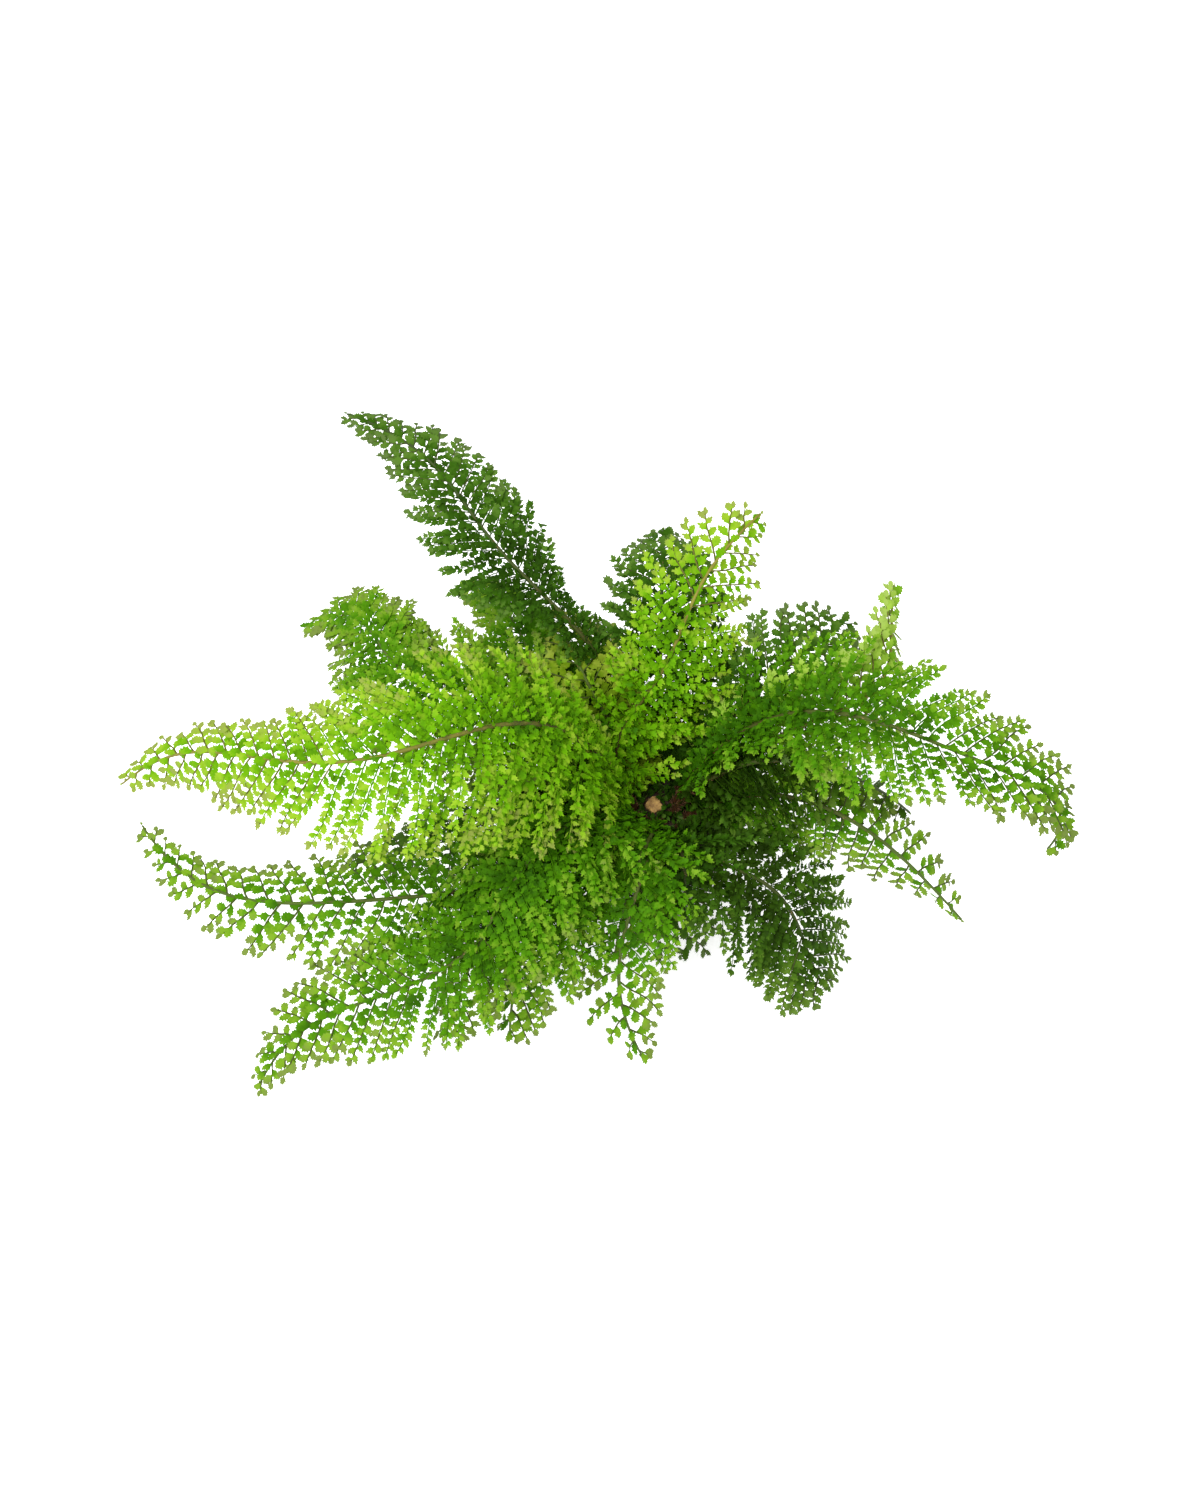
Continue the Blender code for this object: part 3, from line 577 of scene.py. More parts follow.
def add_pinna(pile, root, directions, habit, branch, random):
    """One side branch: its costa and the pinnules along it, alternately on both sides."""
    costa = Costa(root, directions, habit, branch, random)
    side, _, length, lush, free, shade, cover = branch
    add_costa(pile, costa, lush)

    scale = ramped(SCALE_BY_LENGTH, min(1.0, length / FULL_PINNA_LENGTH))
    gap = PINNULE_GAP * scale * ramped(GAP_SHARE, lush) * habit.close
    places = np.arange(FIRST_PINNULE, length - 0.3 * gap, gap / 2)
    if len(places) < 2:
        places = np.array([0.4, 0.7]) * length
    number = len(places)
    share = places / length
    tangent = unit(costa.at(places + COSTA_SLOPE_STEP) - costa.at(places - COSTA_SLOPE_STEP))
    up = square_to(tangent, costa.upward)
    top = np.cross(tangent, up) * side

    loose = ramped(TILT_SPREAD, free)
    stray = random.uniform(-1, 1, number) * ramped(LEAN_SPREAD, free)
    lean = np.radians(ramped(LEAN, share) + stray)[:, None]
    tilt = np.radians(random.uniform(-loose, loose, number))[:, None]
    nod = np.radians(random.uniform(-loose, loose, number) - LUSH_NOD * lush)[:, None]
    sides = np.where(np.arange(number) % 2 == 0, 1.0, -1.0)
    outwards = up * sides[:, None]
    along = outwards * np.sin(lean) + tangent * np.cos(lean)
    ear_side = tangent * np.sin(lean) - outwards * np.cos(lean)
    over = top * np.cos(tilt) - ear_side * np.sin(tilt)
    ear_side = ear_side * np.cos(tilt) + top * np.sin(tilt)
    along = along * np.cos(nod) - over * np.sin(nod)

    roots = costa.at(places) + top * (ROOT_LIFT * lush * np.exp(-places / ROOT_LIFT_FADE))[:, None]
    roots = roots + random.uniform(-OFFSET_SPREAD, OFFSET_SPREAD, (number, 3)) * free
    full_size = PINNULE_LENGTH * scale
    sizes = full_size * ramped(SIZE_SHARE, lush) * ramped(NARROWING, share ** 2.5)
    sizes = sizes * random.uniform(*SIZE_SPREAD, number)
    # Darker towards the rachis: painted shade among the crowded pinnae.
    tones = ramped(ROOT_TONE, lush) + ramped(TIP_TONE_GAIN, lush) * share ** 1.2 - shade
    tones += random.uniform(-TONE_SPREAD, TONE_SPREAD, number)

    roots = np.vstack([roots, costa.at(np.array([length * 0.97]))])
    along = np.vstack([along, tangent[-1]])
    ear_side = np.vstack([ear_side, up[-1]])
    sizes = np.append(sizes, full_size * ramped(END_SIZE_SHARE, lush))
    tones = np.append(tones, END_TONE - shade)
    if cover:
        extra = cover_pinnules(costa, directions[0], cover, random)
        roots, along, ear_side = (np.vstack(pair) for pair in zip((roots, along, ear_side), extra))
        sizes = np.append(sizes, extra[3])
        tones = np.append(tones, extra[4] - shade)
    add_pinnules(pile, roots, along, ear_side, sizes, tones, random, LUSH_PLAIN_SHARE * lush,
                 breadth=ramped(BREADTH, lush))


def rachis_radius(share):
    return RACHIS_RADIUS + (RACHIS_TIP_RADIUS - RACHIS_RADIUS) * share ** 1.4


def add_rachis(pile, midrib):
    """The stalk from its seat in the crown, and the midrib on to the tip."""
    shares = np.linspace(0.0, 1.0, RACHIS_ROWS)
    place, _, right, _ = midrib.at(shares)
    foot = place[0].copy()
    foot[2] = midrib.mouth - HOLE_DEPTH + 0.001
    radii = np.concatenate([[RACHIS_RADIUS], rachis_radius(shares)])
    path, across = np.vstack([foot, place]), np.vstack([right[:1], right])
    points, triangles = tube(path, radii, RACHIS_SIDES, across)
    tones = np.clip(np.concatenate([[0.0], shares]) * 1.5 - 0.05, 0, 1)
    tones = np.concatenate([np.repeat(tones, RACHIS_SIDES), [0.0, 1.0]])
    pile.add(points, triangles, RACHIS_SLOT, tones)


def add_scales(pile, midrib, count, reach, length, random):
    """Small papery scales round the stalk and the midrib, denser towards the crown."""
    shares = reach * random.random(count) ** 1.7
    place, ahead, right, normal = midrib.at(shares)
    angle = random.uniform(0, 2 * math.pi, count)[:, None]
    out = right * np.cos(angle) + normal * np.sin(angle)
    across = np.cross(ahead, out)
    foot = place + out * (rachis_radius(shares) * 0.9)[:, None]
    size = (length * random.uniform(0.5, 1.0, count) * (1 - 0.5 * shares / reach))[:, None]
    lean = random.uniform(0.25, 0.9, count)[:, None]
    curl = random.uniform(-0.3, 0.3, count)[:, None]
    along = unit(ahead + out * lean + across * curl)
    add_chaff(pile, foot, along, across, out, size, 0.13, 0.45, 0.06, random.uniform(0.2, 0.9, count))


def build_frond(number, frond, materials):
    name = f"frond_{number:02d}"
    random = np.random.default_rng(FROND_SEED + number)
    pile = Pile()
    midrib = Midrib(frond)
    add_rachis(pile, midrib)

    full_gap = PINNA_GAP * (0.55 + 0.45 * frond.half_width / FULL_HALF_WIDTH)
    habit = Habit(math.radians(frond.fold), math.radians(HANG.get(number, 0)),
                  LEVELS.get(number, LEVEL), CLOSER.get(number, 1.0))
    lusher, covered = LUSHER.get(number, 0.0), COVERED_SHARES.get(number, COVERED_SHARE)
    share, side = STALK_SHARE if number in BARE_STALKS else LEAFY_STALK_SHARE, 1
    while share < LAST_PINNA_SHARE:
        blade_share = max(0.0, (share - STALK_SHARE) / (1 - STALK_SHARE))
        width = width_share(blade_share, frond.taper)
        # Pinnae low on the stalk are shorter, and darker as painted shade by the crown.
        low = max(0.0, 1 - (share - LEAFY_STALK_SHARE) / (STALK_SHARE - LEAFY_STALK_SHARE))
        width *= 1 - 0.45 * min(1.0, 3 * low) - 0.25 * low
        if (number, side) in SIDE_LENGTHS:
            width *= np.interp(blade_share, *SIDE_LENGTHS[number, side])
        place, ahead, right, normal = midrib.at(share)
        lush = lushness(blade_share - lusher)
        lighter = LIGHTER.get(number, 0.0) * lush + OPEN_LIGHTER * (1 - lush)
        angle = math.radians(ramped(PINNA_ANGLE, blade_share))
        length = frond.half_width * width * random.uniform(0.92, 1.06) - 0.002
        branch = Branch(side, angle, max(length, SHORTEST_PINNA), lush,
                        lushness(blade_share - lusher + LOOSE_BEYOND_LUSH), LOW_SHADE * low - lighter,
                        COVER_COUNT if blade_share < covered else 0)
        add_pinna(pile, place[0], (ahead[0], right[0], normal[0]), habit, branch, random)
        step = full_gap * ramped(STEP_BY_WIDTH, width) * ramped(STEP_BY_LUSHNESS, lush)
        step *= habit.close / 2
        step /= max(0.6, math.hypot(ahead[0, 0], ahead[0, 1])) ** (1 - lush)
        share += step / midrib.length
        side = -side
    place, ahead, right, normal = midrib.at(np.array([LAST_PINNA_SHARE, 1.0]))
    add_pinnules(pile, place, ahead, right, np.array([0.0042, 0.0036]), np.array([0.95, 1.0]), random)
    for count, reach, length in RACHIS_SCALES:
        add_scales(pile, midrib, count, reach, length, random)
    item = pile.build(name + "_fine", materials)
    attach(item, "root")
    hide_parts(name)


class Nodes:
    """A new material's node tree, with short ways to add and join nodes."""

    NOISE_MIDDLE = (0.3, 0.7)

    def __init__(self, name):
        self.material = bpy.data.materials.new(name)
        self.material.use_nodes = True
        self.tree = self.material.node_tree
        self.shader = self.tree.nodes["Principled BSDF"]
        self.place = self.add("ShaderNodeTexCoord").outputs["Object"]

    def feed(self, inputs, values):
        """Joins outputs to a node's inputs, or sets their numbers and colours, by name or by place."""
        for key, value in values.items():
            if isinstance(value, bpy.types.NodeSocket):
                self.tree.links.new(value, inputs[key])
            else:
                inputs[key].default_value = value

    def add(self, kind, values=None, **settings):
        node = self.tree.nodes.new(kind)
        for key, value in settings.items():
            setattr(node, key, value)
        self.feed(node.inputs, values or {})
        return node

    def noise(self, scale, detail=3.0, roughness=0.55):
        values = {"Vector": self.place, "Scale": scale, "Detail": detail, "Roughness": roughness}
        return self.add("ShaderNodeTexNoise", values).outputs["Fac"]

    def math(self, operation, first, second, clamp=False):
        node = self.add("ShaderNodeMath", {0: first, 1: second}, operation=operation, use_clamp=clamp)
        return node.outputs[0]

    def spread(self, noise, low, high):
        """The middle of a noise's range, stretched to run from low to high."""
        values = dict(enumerate((noise, *self.NOISE_MIDDLE, low, high)))
        return self.add("ShaderNodeMapRange", values, clamp=True).outputs["Result"]

    def varied_tone(self, *noises):
        """The piece's own tone, with noises added."""
        total = noises[0]
        for noise in noises[1:]:
            total = self.math("ADD", total, noise)
        tone = self.add("ShaderNodeAttribute", attribute_name="tone").outputs["Fac"]
        return self.math("ADD", tone, total, clamp=True)

    def ramp(self, value, stops):
        node = self.add("ShaderNodeValToRGB", {"Fac": value})
        elements = node.color_ramp.elements
        while len(elements) < len(stops):
            elements.new(0.5)
        for element, (position, colour) in zip(elements, stops):
            element.position = position
            element.color = (*colour, 1.0)
        return node.outputs["Color"]

    def bump(self, height, strength, distance):
        values = {"Height": height, "Strength": strength, "Distance": distance}
        return self.add("ShaderNodeBump", values).outputs["Normal"]

    def finish(self, values):
        """Feeds the surface shader and returns the material."""
        self.feed(self.shader.inputs, values)
        return self.material


LEAF_STOPS = (0.0, 0.45, 0.74, 1.0)
LEAF_TRANSLUCENCY = 0.09


def leaf_material(name, *colours):
    """Leaf from old or shaded to young. The colours are dark, middle, light and pale."""
    nodes = Nodes(name)
    patches = nodes.spread(nodes.noise(scale=55.0, detail=2.0), -0.20, 0.20)
    flecks = nodes.spread(nodes.noise(scale=420.0, detail=2.0), -0.08, 0.08)
    colour = nodes.ramp(nodes.varied_tone(patches, flecks), list(zip(LEAF_STOPS, colours)))
    through = nodes.add("ShaderNodeBsdfTranslucent", {"Color": colour})
    sources = {0: LEAF_TRANSLUCENCY, 1: nodes.shader.outputs[0], 2: through.outputs[0]}
    mix = nodes.add("ShaderNodeMixShader", sources)
    nodes.feed(nodes.tree.nodes["Material Output"].inputs, {"Surface": mix.outputs[0]})
    return nodes.finish({
        "Base Color": colour,
        "Roughness": nodes.spread(nodes.noise(scale=300.0), 0.52, 0.70),
        "Normal": nodes.bump(nodes.noise(scale=900.0, detail=2.0), strength=0.25, distance=0.0004),
        "Specular IOR Level": 0.03})


def rachis_material(name, young):
    """Stalk and midrib: red-brown at the crown, then olive brown, then young at the tip."""
    nodes = Nodes(name)
    tone = nodes.varied_tone(nodes.spread(nodes.noise(scale=180.0), -0.15, 0.15))
    stops = [(0.0, linear(60, 36, 16)), (0.35, linear(54, 60, 20)), (1.0, young)]
    return nodes.finish({
        "Base Color": nodes.ramp(tone, stops),
        "Roughness": nodes.spread(nodes.noise(scale=350.0), 0.5, 0.75),
        "Normal": nodes.bump(nodes.noise(scale=1400.0, detail=2.0), strength=0.3, distance=0.0003),
        "Specular IOR Level": 0.1})


def scale_material():
    nodes = Nodes("scale_papery")
    tone = nodes.varied_tone(nodes.spread(nodes.noise(scale=200.0), -0.2, 0.2))
    stops = [(0.0, linear(46, 26, 16)), (0.5, linear(92, 58, 34)), (1.0, linear(150, 112, 72))]
    return nodes.finish({"Base Color": nodes.ramp(tone, stops), "Roughness": 0.7})


COARSE_SHARE, FINE_SHARE = 0.65, 0.35
FINE_SCALE = 4.7


def grainy_material(name, dark, light, scale, roughness, bump, depth, stops=(0.35, 0.65)):
    """Coarse grain with finer grain in it, from the dark colour to the light one."""
    nodes = Nodes(name)
    coarse = nodes.math("MULTIPLY", nodes.noise(scale, detail=4.0, roughness=0.65), COARSE_SHARE)
    fine = nodes.math("MULTIPLY", nodes.noise(scale * FINE_SCALE), FINE_SHARE)
    grain = nodes.math("ADD", coarse, fine)
    colour = nodes.ramp(grain, list(zip(stops, (linear(*dark), linear(*light)))))
    return nodes.finish({"Base Color": colour, "Roughness": nodes.spread(grain, *roughness),
                         "Normal": nodes.bump(grain, bump, depth)})


def lathe(profile, steps):
    """Points and triangles turned about Z from (radius, height) points that begin and end on it."""
    profile = np.asarray(profile)
    inner = profile[1:-1]
    angles = np.linspace(0, 2 * math.pi, steps, endpoint=False)
    points = inner[:, None, :1] * level_direction(angles) + UP * inner[:, None, 1:]
    points = np.vstack([points.reshape(-1, 3), UP * profile[0][1], UP * profile[-1][1]])
    return points, closed_faces(len(inner), steps)[:, [0, 2, 1]]


def wall_radius(height):
    """Outside of the pot wall below the rim."""
    share = height / (POT_HEIGHT - POT_RIM_HEIGHT)
    return POT_BASE_RADIUS + share * (POT_RIM_RADIUS - POT_RIM_LIP - POT_BASE_RADIUS)


def pot_profile():
    """(radius, height) points up the pot's inside, over its rim, down its outside and below."""
    rim_foot = POT_HEIGHT - POT_RIM_HEIGHT
    edge_radius, edge_height = POT_RIM_RADIUS - POT_EDGE_ROUND, POT_HEIGHT - POT_EDGE_ROUND
    profile = [(0.0, POT_FLOOR), (wall_radius(POT_FLOOR) - POT_WALL, POT_FLOOR),
               (wall_radius(rim_foot) - POT_WALL, rim_foot), (POT_RIM_RADIUS - POT_WALL, edge_height),
               (POT_RIM_RADIUS - POT_WALL + POT_EDGE_ROUND * 0.4, POT_HEIGHT)]
    for degrees in (90, 45, 0):
        angle = math.radians(degrees)
        profile.append((edge_radius + POT_EDGE_ROUND * math.cos(angle),
                        edge_height + POT_EDGE_ROUND * math.sin(angle)))
    profile += [(POT_RIM_RADIUS + out, rim_foot + up) for out, up in POT_RIM_UNDERSIDE]
    profile += [(wall_radius(rim_foot) + 0.0003, rim_foot - 0.0002),
                (wall_radius(rim_foot - POT_RIM_FILLET), rim_foot - POT_RIM_FILLET)]
    for groove in POT_GROOVES:
        for rise, depth in ((POT_GROOVE_HALF, 0.0), (0.0, POT_GROOVE_DEPTH), (-POT_GROOVE_HALF, 0.0)):
            profile.append((wall_radius(groove + rise) - depth, groove + rise))
    profile += [(POT_BASE_RADIUS + out, up) for out, up in POT_BASE_EDGE]
    return profile + [(0.0, POT_BASE_EDGE[-1][1])]


def drain_cutter(number):
    angle = 2 * math.pi * (number + 0.5) / DRAIN_COUNT
    points, triangles = lathe([(0, -DRAIN_CUT), (DRAIN_RADIUS, -DRAIN_CUT), (DRAIN_RADIUS, DRAIN_CUT),
                               (0, DRAIN_CUT)], DRAIN_STEPS)
    pile = Pile()
    pile.add(points + DRAIN_CIRCLE * level_direction(angle), triangles[:, ::-1], 0, PLAIN_TONE)
    return pile.build(f"drain_{number + 1}", [])


def build_pot(material):
    pile = Pile()
    points, triangles = lathe(pot_profile(), POT_STEPS)
    pile.add(points, triangles, 0, PLAIN_TONE)
    pot = pile.build("pot_fine", [material])
    cutters = [drain_cutter(number) for number in range(DRAIN_COUNT)]
    for cutter in cutters:
        modifier = pot.modifiers.new("Drain", "BOOLEAN")
        modifier.operation = "DIFFERENCE"
        modifier.solver = "EXACT"
        modifier.object = cutter
    bpy.context.view_layer.update()
    graph = bpy.context.evaluated_depsgraph_get()
    mesh = bpy.data.meshes.new_from_object(pot.evaluated_get(graph))
    pot.modifiers.clear()
    pot.data = mesh
    for cutter in cutters:
        bpy.data.objects.remove(cutter, do_unlink=True)
    mesh.set_sharp_from_angle(angle=math.radians(POT_SHARP_ANGLE))
    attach(pot, "root")
    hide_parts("pot")


def rough(points, scale, seed, octaves=3):
    """Smooth repeatable noise between about -1 and 1 at each point."""
    random = np.random.default_rng(seed)
    total, weight = np.zeros(len(points)), 1.0
    for octave in range(octaves):
        for _ in range(4):
            direction = unit(random.normal(size=3)) * scale * 2 ** octave
            total += weight * np.sin(points @ direction + random.uniform(0, 2 * math.pi)) / 4
        weight *= 0.55
    return total


GOLDEN = (1 + 5 ** 0.5) / 2
LUMP_CORNERS = [(x, y, 0) for y in (GOLDEN, -GOLDEN) for x in (-1, 1)]
LUMP_CORNERS = unit(np.vstack([np.roll(LUMP_CORNERS, turn, axis=1) for turn in range(3)]))
LUMP_FACES = np.array([(0, 11, 5), (0, 5, 1), (0, 1, 7), (0, 7, 10), (0, 10, 11), (1, 5, 9), (5, 11, 4),
                       (11, 10, 2), (10, 7, 6), (7, 1, 8), (3, 9, 4), (3, 4, 2), (3, 2, 6), (3, 6, 8),
                       (3, 8, 9), (4, 9, 5), (2, 4, 11), (6, 2, 10), (8, 6, 7), (9, 8, 1)])


def add_lump(pile, centre, size, random):
    """An angular crumb."""
    corners = len(LUMP_CORNERS)
    points = LUMP_CORNERS * random.uniform(0.65, 1.15, (corners, 1)) * size
    points = points * random.uniform(0.6, 1.2, 3)
    turn = np.linalg.qr(random.normal(size=(3, 3)))[0]
    if np.linalg.det(turn) < 0:
        turn = -turn
    pile.add(points @ turn.T + centre, LUMP_FACES, 0, PLAIN_TONE, np.ones(corners, bool))


def soil_height(points):
    radius = np.hypot(points[:, 0], points[:, 1])
    fall = np.interp(radius, *SOIL_FALL)
    return SOIL_TOP + SOIL_LIFT + fall + SOIL_ROUGHNESS * rough(points * [1, 1, 0], 330.0, 11, 4)


def build_soil(material):
    random = np.random.default_rng(31)
    edge = wall_radius(SOIL_TOP - SOIL_EDGE_DEPTH) - POT_WALL - SOIL_GAP
    profile = [(radius, SOIL_TOP) for radius in np.linspace(0.0, edge, 30)]
    profile += [(edge - 2 * SOIL_GAP, SOIL_TOP - SOIL_SIDE_DEPTH),
                (wall_radius(SOIL_FOOT) - POT_WALL - 2 * SOIL_GAP, SOIL_FOOT), (0.0, SOIL_FOOT)]
    points, triangles = lathe(profile, ROUND_STEPS)
    top = points[:, 2] > SOIL_TOP - 0.001
    points[top, 2] = soil_height(points[top])
    pile = Pile()
    pile.add(points, triangles, 0, PLAIN_TONE)
    for _ in range(CRUMB_COUNT):
        radius, angle = edge * math.sqrt(random.uniform(0.15, 0.98)), random.uniform(0, 2 * math.pi)
        place = radius * level_direction(angle)
        size = 0.0006 + 0.0013 * random.random() ** 2.5
        place[2] = soil_height(place[None])[0] + size * 0.25
        add_lump(pile, place, size, random)
    soil = pile.build("soil_fine", [material])
    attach(soil, "root")
    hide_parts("soil")


def add_stub(pile, start, end, radius, end_radius, slot, random):
    """An old stalk's base, broken off: fibrous sides and a rough end."""
    start, end = np.asarray(start, float), np.asarray(end, float)
    t = np.linspace(0, 1, STUB_ROWS)[:, None]
    path = start * (1 - t) + end * t
    radii = radius + (end_radius - radius) * t[:, 0]
    axis = unit(end - start)
    across = unit(np.cross(axis, [0.31, 0.52, 0.79]))
    points, triangles = tube(path, radii, STUB_SIDES, np.tile(across, (STUB_ROWS, 1)))
    middle = path[np.minimum(np.arange(len(points)) // STUB_SIDES, STUB_ROWS - 1)]
    spread = points - middle
    spread[-2:] = 0
    ridge = np.tile(random.uniform(0.78, 1.22, STUB_SIDES), STUB_ROWS)
    spread[:-2] *= (ridge * (1 + 0.16 * rough(points[:-2], 900.0, 7)))[:, None]
    points = middle + spread
    points[-1] = path[-1] - axis * end_radius * 0.25
    last_ring = slice((STUB_ROWS - 1) * STUB_SIDES, STUB_ROWS * STUB_SIDES)
    points[last_ring] += axis * random.uniform(-0.3, 0.3, (STUB_SIDES, 1)) * end_radius
    ends = (triangles == len(points) - 1).any(axis=1)
    pile.add(points, triangles, slot, 0.4)
    pile.slots[-1][ends] = CUT_SLOT


def add_rootstock(pile):
    """The crown's rough body, sunk a little into the soil."""
    profile = [(radius, crown_height(radius)) for radius in np.linspace(0.0, CROWN_RADIUS, 26)]
    profile += [(CROWN_RADIUS + 0.0004, crown_height(CROWN_RADIUS) - 0.0018),
                (0.0248, SOIL_TOP - 0.0006), (0.0, SOIL_TOP - 0.0006)]
    points, triangles = lathe(profile, ROUND_STEPS)
    top = points[:, 2] > SOIL_TOP
    points[top, 2] += 0.0009 * rough(points[top], 520.0, 5)
    points[top, :2] *= (1 + 0.020 * rough(points[top], 260.0, 6))[:, None]
    pile.add(points, triangles, BARK_SLOT, 0.4)


def add_stubs(pile, random):
    """The cut stump, the fallen dead stalk base and the old stalk bases round the edge."""
    add_stub(pile, (0, 0, crown_height(0) - 0.003), (0, -0.001, STUMP_TOP), STUMP_RADIUS,
             STUMP_RADIUS * 0.92, CUT_SLOT, random)
    add_stub(pile, FALLEN_STUB_START, FALLEN_STUB_END, FALLEN_STUB_RADIUS, FALLEN_STUB_RADIUS * 0.8,
             DEAD_SLOT, random)
    lean = math.radians(STUB_LEAN)
    for degrees in STUB_ANGLES:
        outward = level_direction(math.radians(degrees))
        axis = outward * math.sin(lean) + UP * math.cos(lean)
        foot = outward * STUB_CIRCLE + UP * (crown_height(STUB_CIRCLE) - 0.002)
        start = foot - axis * STUB_LENGTH * 0.1
        add_stub(pile, start, start + axis * STUB_LENGTH, STUB_RADIUS, STUB_RADIUS * 0.7, BARK_SLOT,
                 random)


def on_crown(angle, radius, lift):
    """Directions away from the axis, and places that far above the crown's top."""
    out = level_direction(angle)
    return out, out * radius[:, None] + UP * (crown_height(radius) + lift)[:, None]


def add_crown_chaff(pile, random):
    """Dry scales that stand among the stalks, in the darker half of the scale colours as painted shade
    under the fronds.
    """
    count = CHAFF_COUNT
    angle = random.uniform(0, 2 * math.pi, count)
    radius = CROWN_RADIUS * np.sqrt(random.uniform(0.02, 1.0, count))
    out, foot = on_crown(angle, radius, -0.0002)
    turn = np.cross(UP, out)
    along = out * random.uniform(-0.2, 0.9, (count, 1)) + turn * random.uniform(-0.7, 0.7, (count, 1))
    along = unit(along + UP * random.uniform(0.25, 1.0, (count, 1)))
    across = unit(np.cross(along, out + UP))
    size = random.uniform(0.0020, 0.0048, (count, 1))
    add_chaff(pile, foot, along, across, out, size, 0.12, 0.5, 0.07, random.uniform(0.0, 0.45, count))


def add_young_leaflets(pile, random):
    """Small leaflets between the stalks, clear of the fallen stalk base. They take the dark leaf, as
    painted shade in the crown's middle.
    """
    count = YOUNG_LEAFLET_COUNT
    angle = random.uniform(0, 2 * math.pi, count)
    radius = random.uniform(0.0064, CROWN_RADIUS + 0.002, count)
    out, foot = on_crown(angle, radius, random.uniform(0.0, 0.007, count))
    start, end = np.array(FALLEN_STUB_START[:2]), np.array(FALLEN_STUB_END[:2])
    line = end - start
    share = np.clip((foot[:, :2] - start) @ line / (line @ line), 0, 1)[:, None]
    distance = np.linalg.norm(foot[:, :2] - start * (1 - share) - end * share, axis=1)
    clear = distance > FALLEN_STUB_CLEARANCE
    along = out * random.uniform(0.2, 1.0, (count, 1)) + random.uniform(-0.7, 0.7, (count, 3))
    along = along + UP * 0.3
    ear_side = random.uniform(-1, 1, (count, 3)) + UP * 0.2
    sizes, tones = random.uniform(0.0035, 0.0065, count), random.uniform(0.0, 0.8, count)
    add_pinnules(pile, foot[clear], along[clear], ear_side[clear], sizes[clear], tones[clear], random,
                 slot=YOUNG_LEAF_SLOT)


def build_crown(bark, cut_face, scale, dead, leaf):
    random = np.random.default_rng(47)
    pile = Pile()
    add_rootstock(pile)
    add_stubs(pile, random)
    add_crown_chaff(pile, random)
    add_young_leaflets(pile, random)
    crown = pile.build("crown_fine", [bark, cut_face, scale, dead, leaf])
    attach(crown, "root")
    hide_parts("crown")


FLOOR_HALF = 6.0
FLOOR_DROP = 0.0002
LIGHT_TARGET = np.array([0.0, 0.0, 0.15])
# Name, place, size and power.
LIGHTS = (("key", (-0.6, -0.4, 1.8), 1.2, 48.0), ("fill", (1.2, -0.8, 1.3), 1.4, 10.0))


def build_floor():
    mesh = bpy.data.meshes.new("floor")
    half = FLOOR_HALF
    corners = [(-half, -half, 0), (half, -half, 0), (half, half, 0), (-half, half, 0)]
    mesh.from_pydata(corners, [], [(0, 1, 2, 3)])
    floor = bpy.data.objects.new("floor", mesh)
    bpy.context.scene.collection.objects.link(floor)
    floor.location.z = -FLOOR_DROP
    mesh.materials.append(Nodes("floor_white").finish({
        "Base Color": (0.97, 0.97, 0.97, 1.0), "Roughness": 0.8,
        "Emission Color": (1.0, 1.0, 1.0, 1.0), "Emission Strength": 0.45}))


def build_studio():
    scene = bpy.context.scene
    scene.view_settings.view_transform = "Standard"
    world = bpy.data.worlds.new("studio")
    scene.world = world
    world.use_nodes = True
    background = world.node_tree.nodes["Background"]
    background.inputs["Color"].default_value = (1.0, 1.0, 1.0, 1.0)
    background.inputs["Strength"].default_value = 1.0
    build_floor()
    for name, place, size, power in LIGHTS:
        light = bpy.data.lights.new(name, "AREA")
        light.shape = "DISK"
        light.size = size
        light.energy = power
        lamp = bpy.data.objects.new(name, light)
        scene.collection.objects.link(lamp)
        lamp.location = place
        direction = unit(LIGHT_TARGET - np.array(place))
        heading = math.atan2(direction[1], direction[0])
        lamp.rotation_euler = (math.acos(-direction[2]), 0.0, heading - math.pi / 2)


CAMERA_ELEVATION = 65
CAMERA_DISTANCE = 1.5
CAMERA_TARGET = np.array([-0.034, 0.0, 0.19])


def build_camera():
    """The photograph looks down steeply on the plant's front."""
    elevation = math.radians(CAMERA_ELEVATION)
    ahead = np.array([0.0, math.cos(elevation), -math.sin(elevation)])
    camera = bpy.data.cameras.new("camera")
    camera.lens = 60.0
    camera.sensor_width = 36.0
    camera.clip_start = 0.01
    item = bpy.data.objects.new("camera", camera)
    bpy.context.scene.collection.objects.link(item)
    item.location = CAMERA_TARGET - ahead * CAMERA_DISTANCE
    item.rotation_euler = (math.pi / 2 - elevation, 0.0, 0.0)
    bpy.context.scene.camera = item


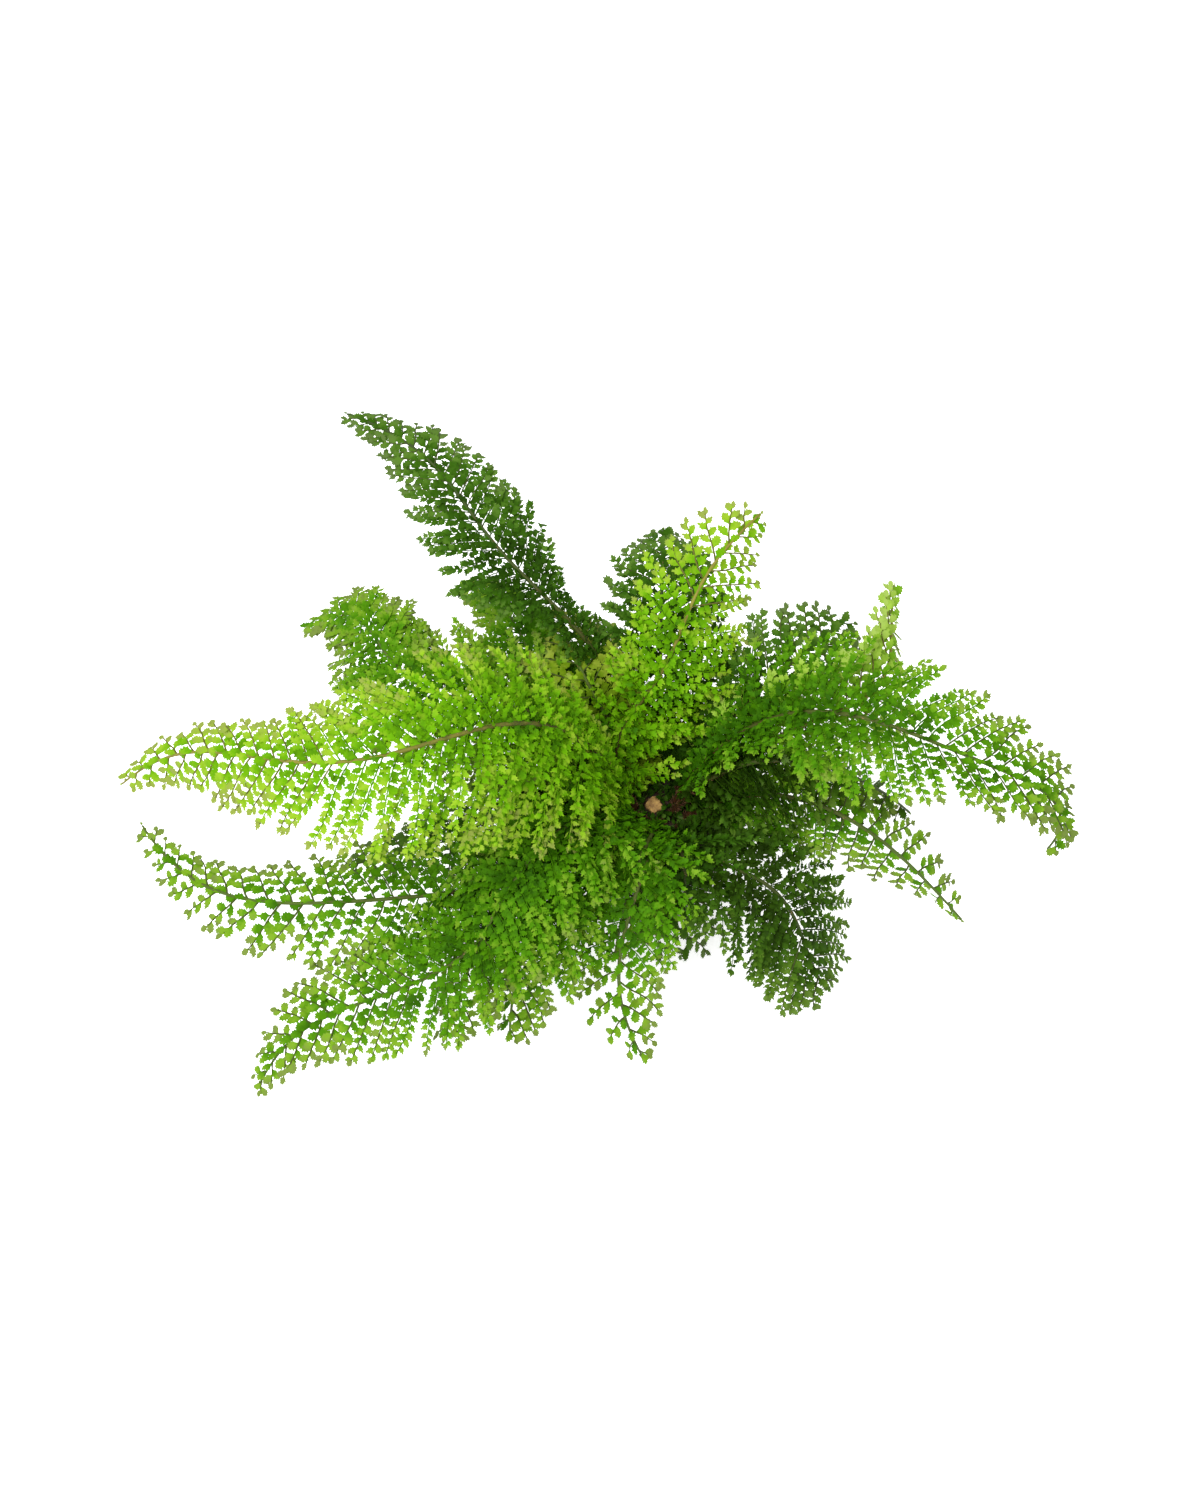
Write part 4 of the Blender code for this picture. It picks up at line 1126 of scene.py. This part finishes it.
# Each leaf's dark, middle, light and pale colours, as screen values.
LEAF_COLOURS = {
    "bright": ((44, 86, 2), (82, 132, 3), (116, 148, 30), (114, 128, 54)),
    "green": ((36, 74, 2), (62, 110, 4), (98, 132, 28), (94, 112, 48)),
    "dark": ((24, 48, 2), (42, 76, 8), (68, 98, 30), (72, 92, 44)),
    "pale": ((60, 102, 8), (88, 130, 20), (124, 154, 52), (128, 152, 68)),
    "deep": ((24, 42, 2), (44, 74, 10), (70, 98, 26), (76, 100, 38)),
    "olive": ((48, 76, 4), (86, 112, 10), (118, 134, 40), (124, 140, 60)),
}
# The dark rachis, like the dark leaf, is partly painted shade.
YOUNG_RACHIS_COLOURS = {"bright": (112, 108, 42), "green": (66, 84, 30), "dark": (48, 62, 28)}
# Name, dark and light colours, noise scale, roughness range, bump, its depth, and the ramp's stops.
GRAINS = (
    # The crown's bark is dark brown, darkened further as painted shade under the fronds.
    ("crown_bark_and_shade", (24, 15, 10), (60, 38, 25), 260.0, (0.75, 0.95), 0.8, 0.0010),
    ("stump_face", (100, 66, 30), (194, 156, 88), 300.0, (0.7, 0.9), 0.7, 0.0008),
    ("dead_base", (40, 10, 10), (96, 34, 26), 500.0, (0.55, 0.75), 0.7, 0.0006),
    ("soil_dark", (22, 15, 10), (72, 52, 36), 300.0, (0.85, 1.0), 0.9, 0.0012),
    ("pot_plastic_dark", (46, 34, 28), (56, 42, 35), 90.0, (0.42, 0.56), 0.12, 0.0003, (0.40, 0.60)),
)
# Fronds whose leaf colour departs from that of their slot. The dark and deep leaves are partly older
# leaf and partly painted shade, on fronds that lie under others.
SHADES = {11: "deep", 14: "pale", 15: "dark", 16: "olive", 18: "deep"}


def main():
    leaves = {name: leaf_material("leaf_" + name, *(linear(*colour) for colour in colours))
              for name, colours in LEAF_COLOURS.items()}
    rachises = {name: rachis_material("rachis_" + name, linear(*colour))
                for name, colour in YOUNG_RACHIS_COLOURS.items()}
    scale = scale_material()
    bark, cut_face, dead, earth, plastic = (grainy_material(*row) for row in GRAINS)
    build_pot(plastic)
    build_soil(earth)
    # The crown's leaflets take the dark leaf: painted shade under the fronds.
    build_crown(bark, cut_face, scale, dead, leaves["dark"])
    for number, frond in FRONDS.items():
        leaf = leaves[SHADES.get(number, frond.tint)]
        build_frond(number, frond, [leaf, rachises[frond.tint], scale])
    build_studio()
    build_camera()


main()
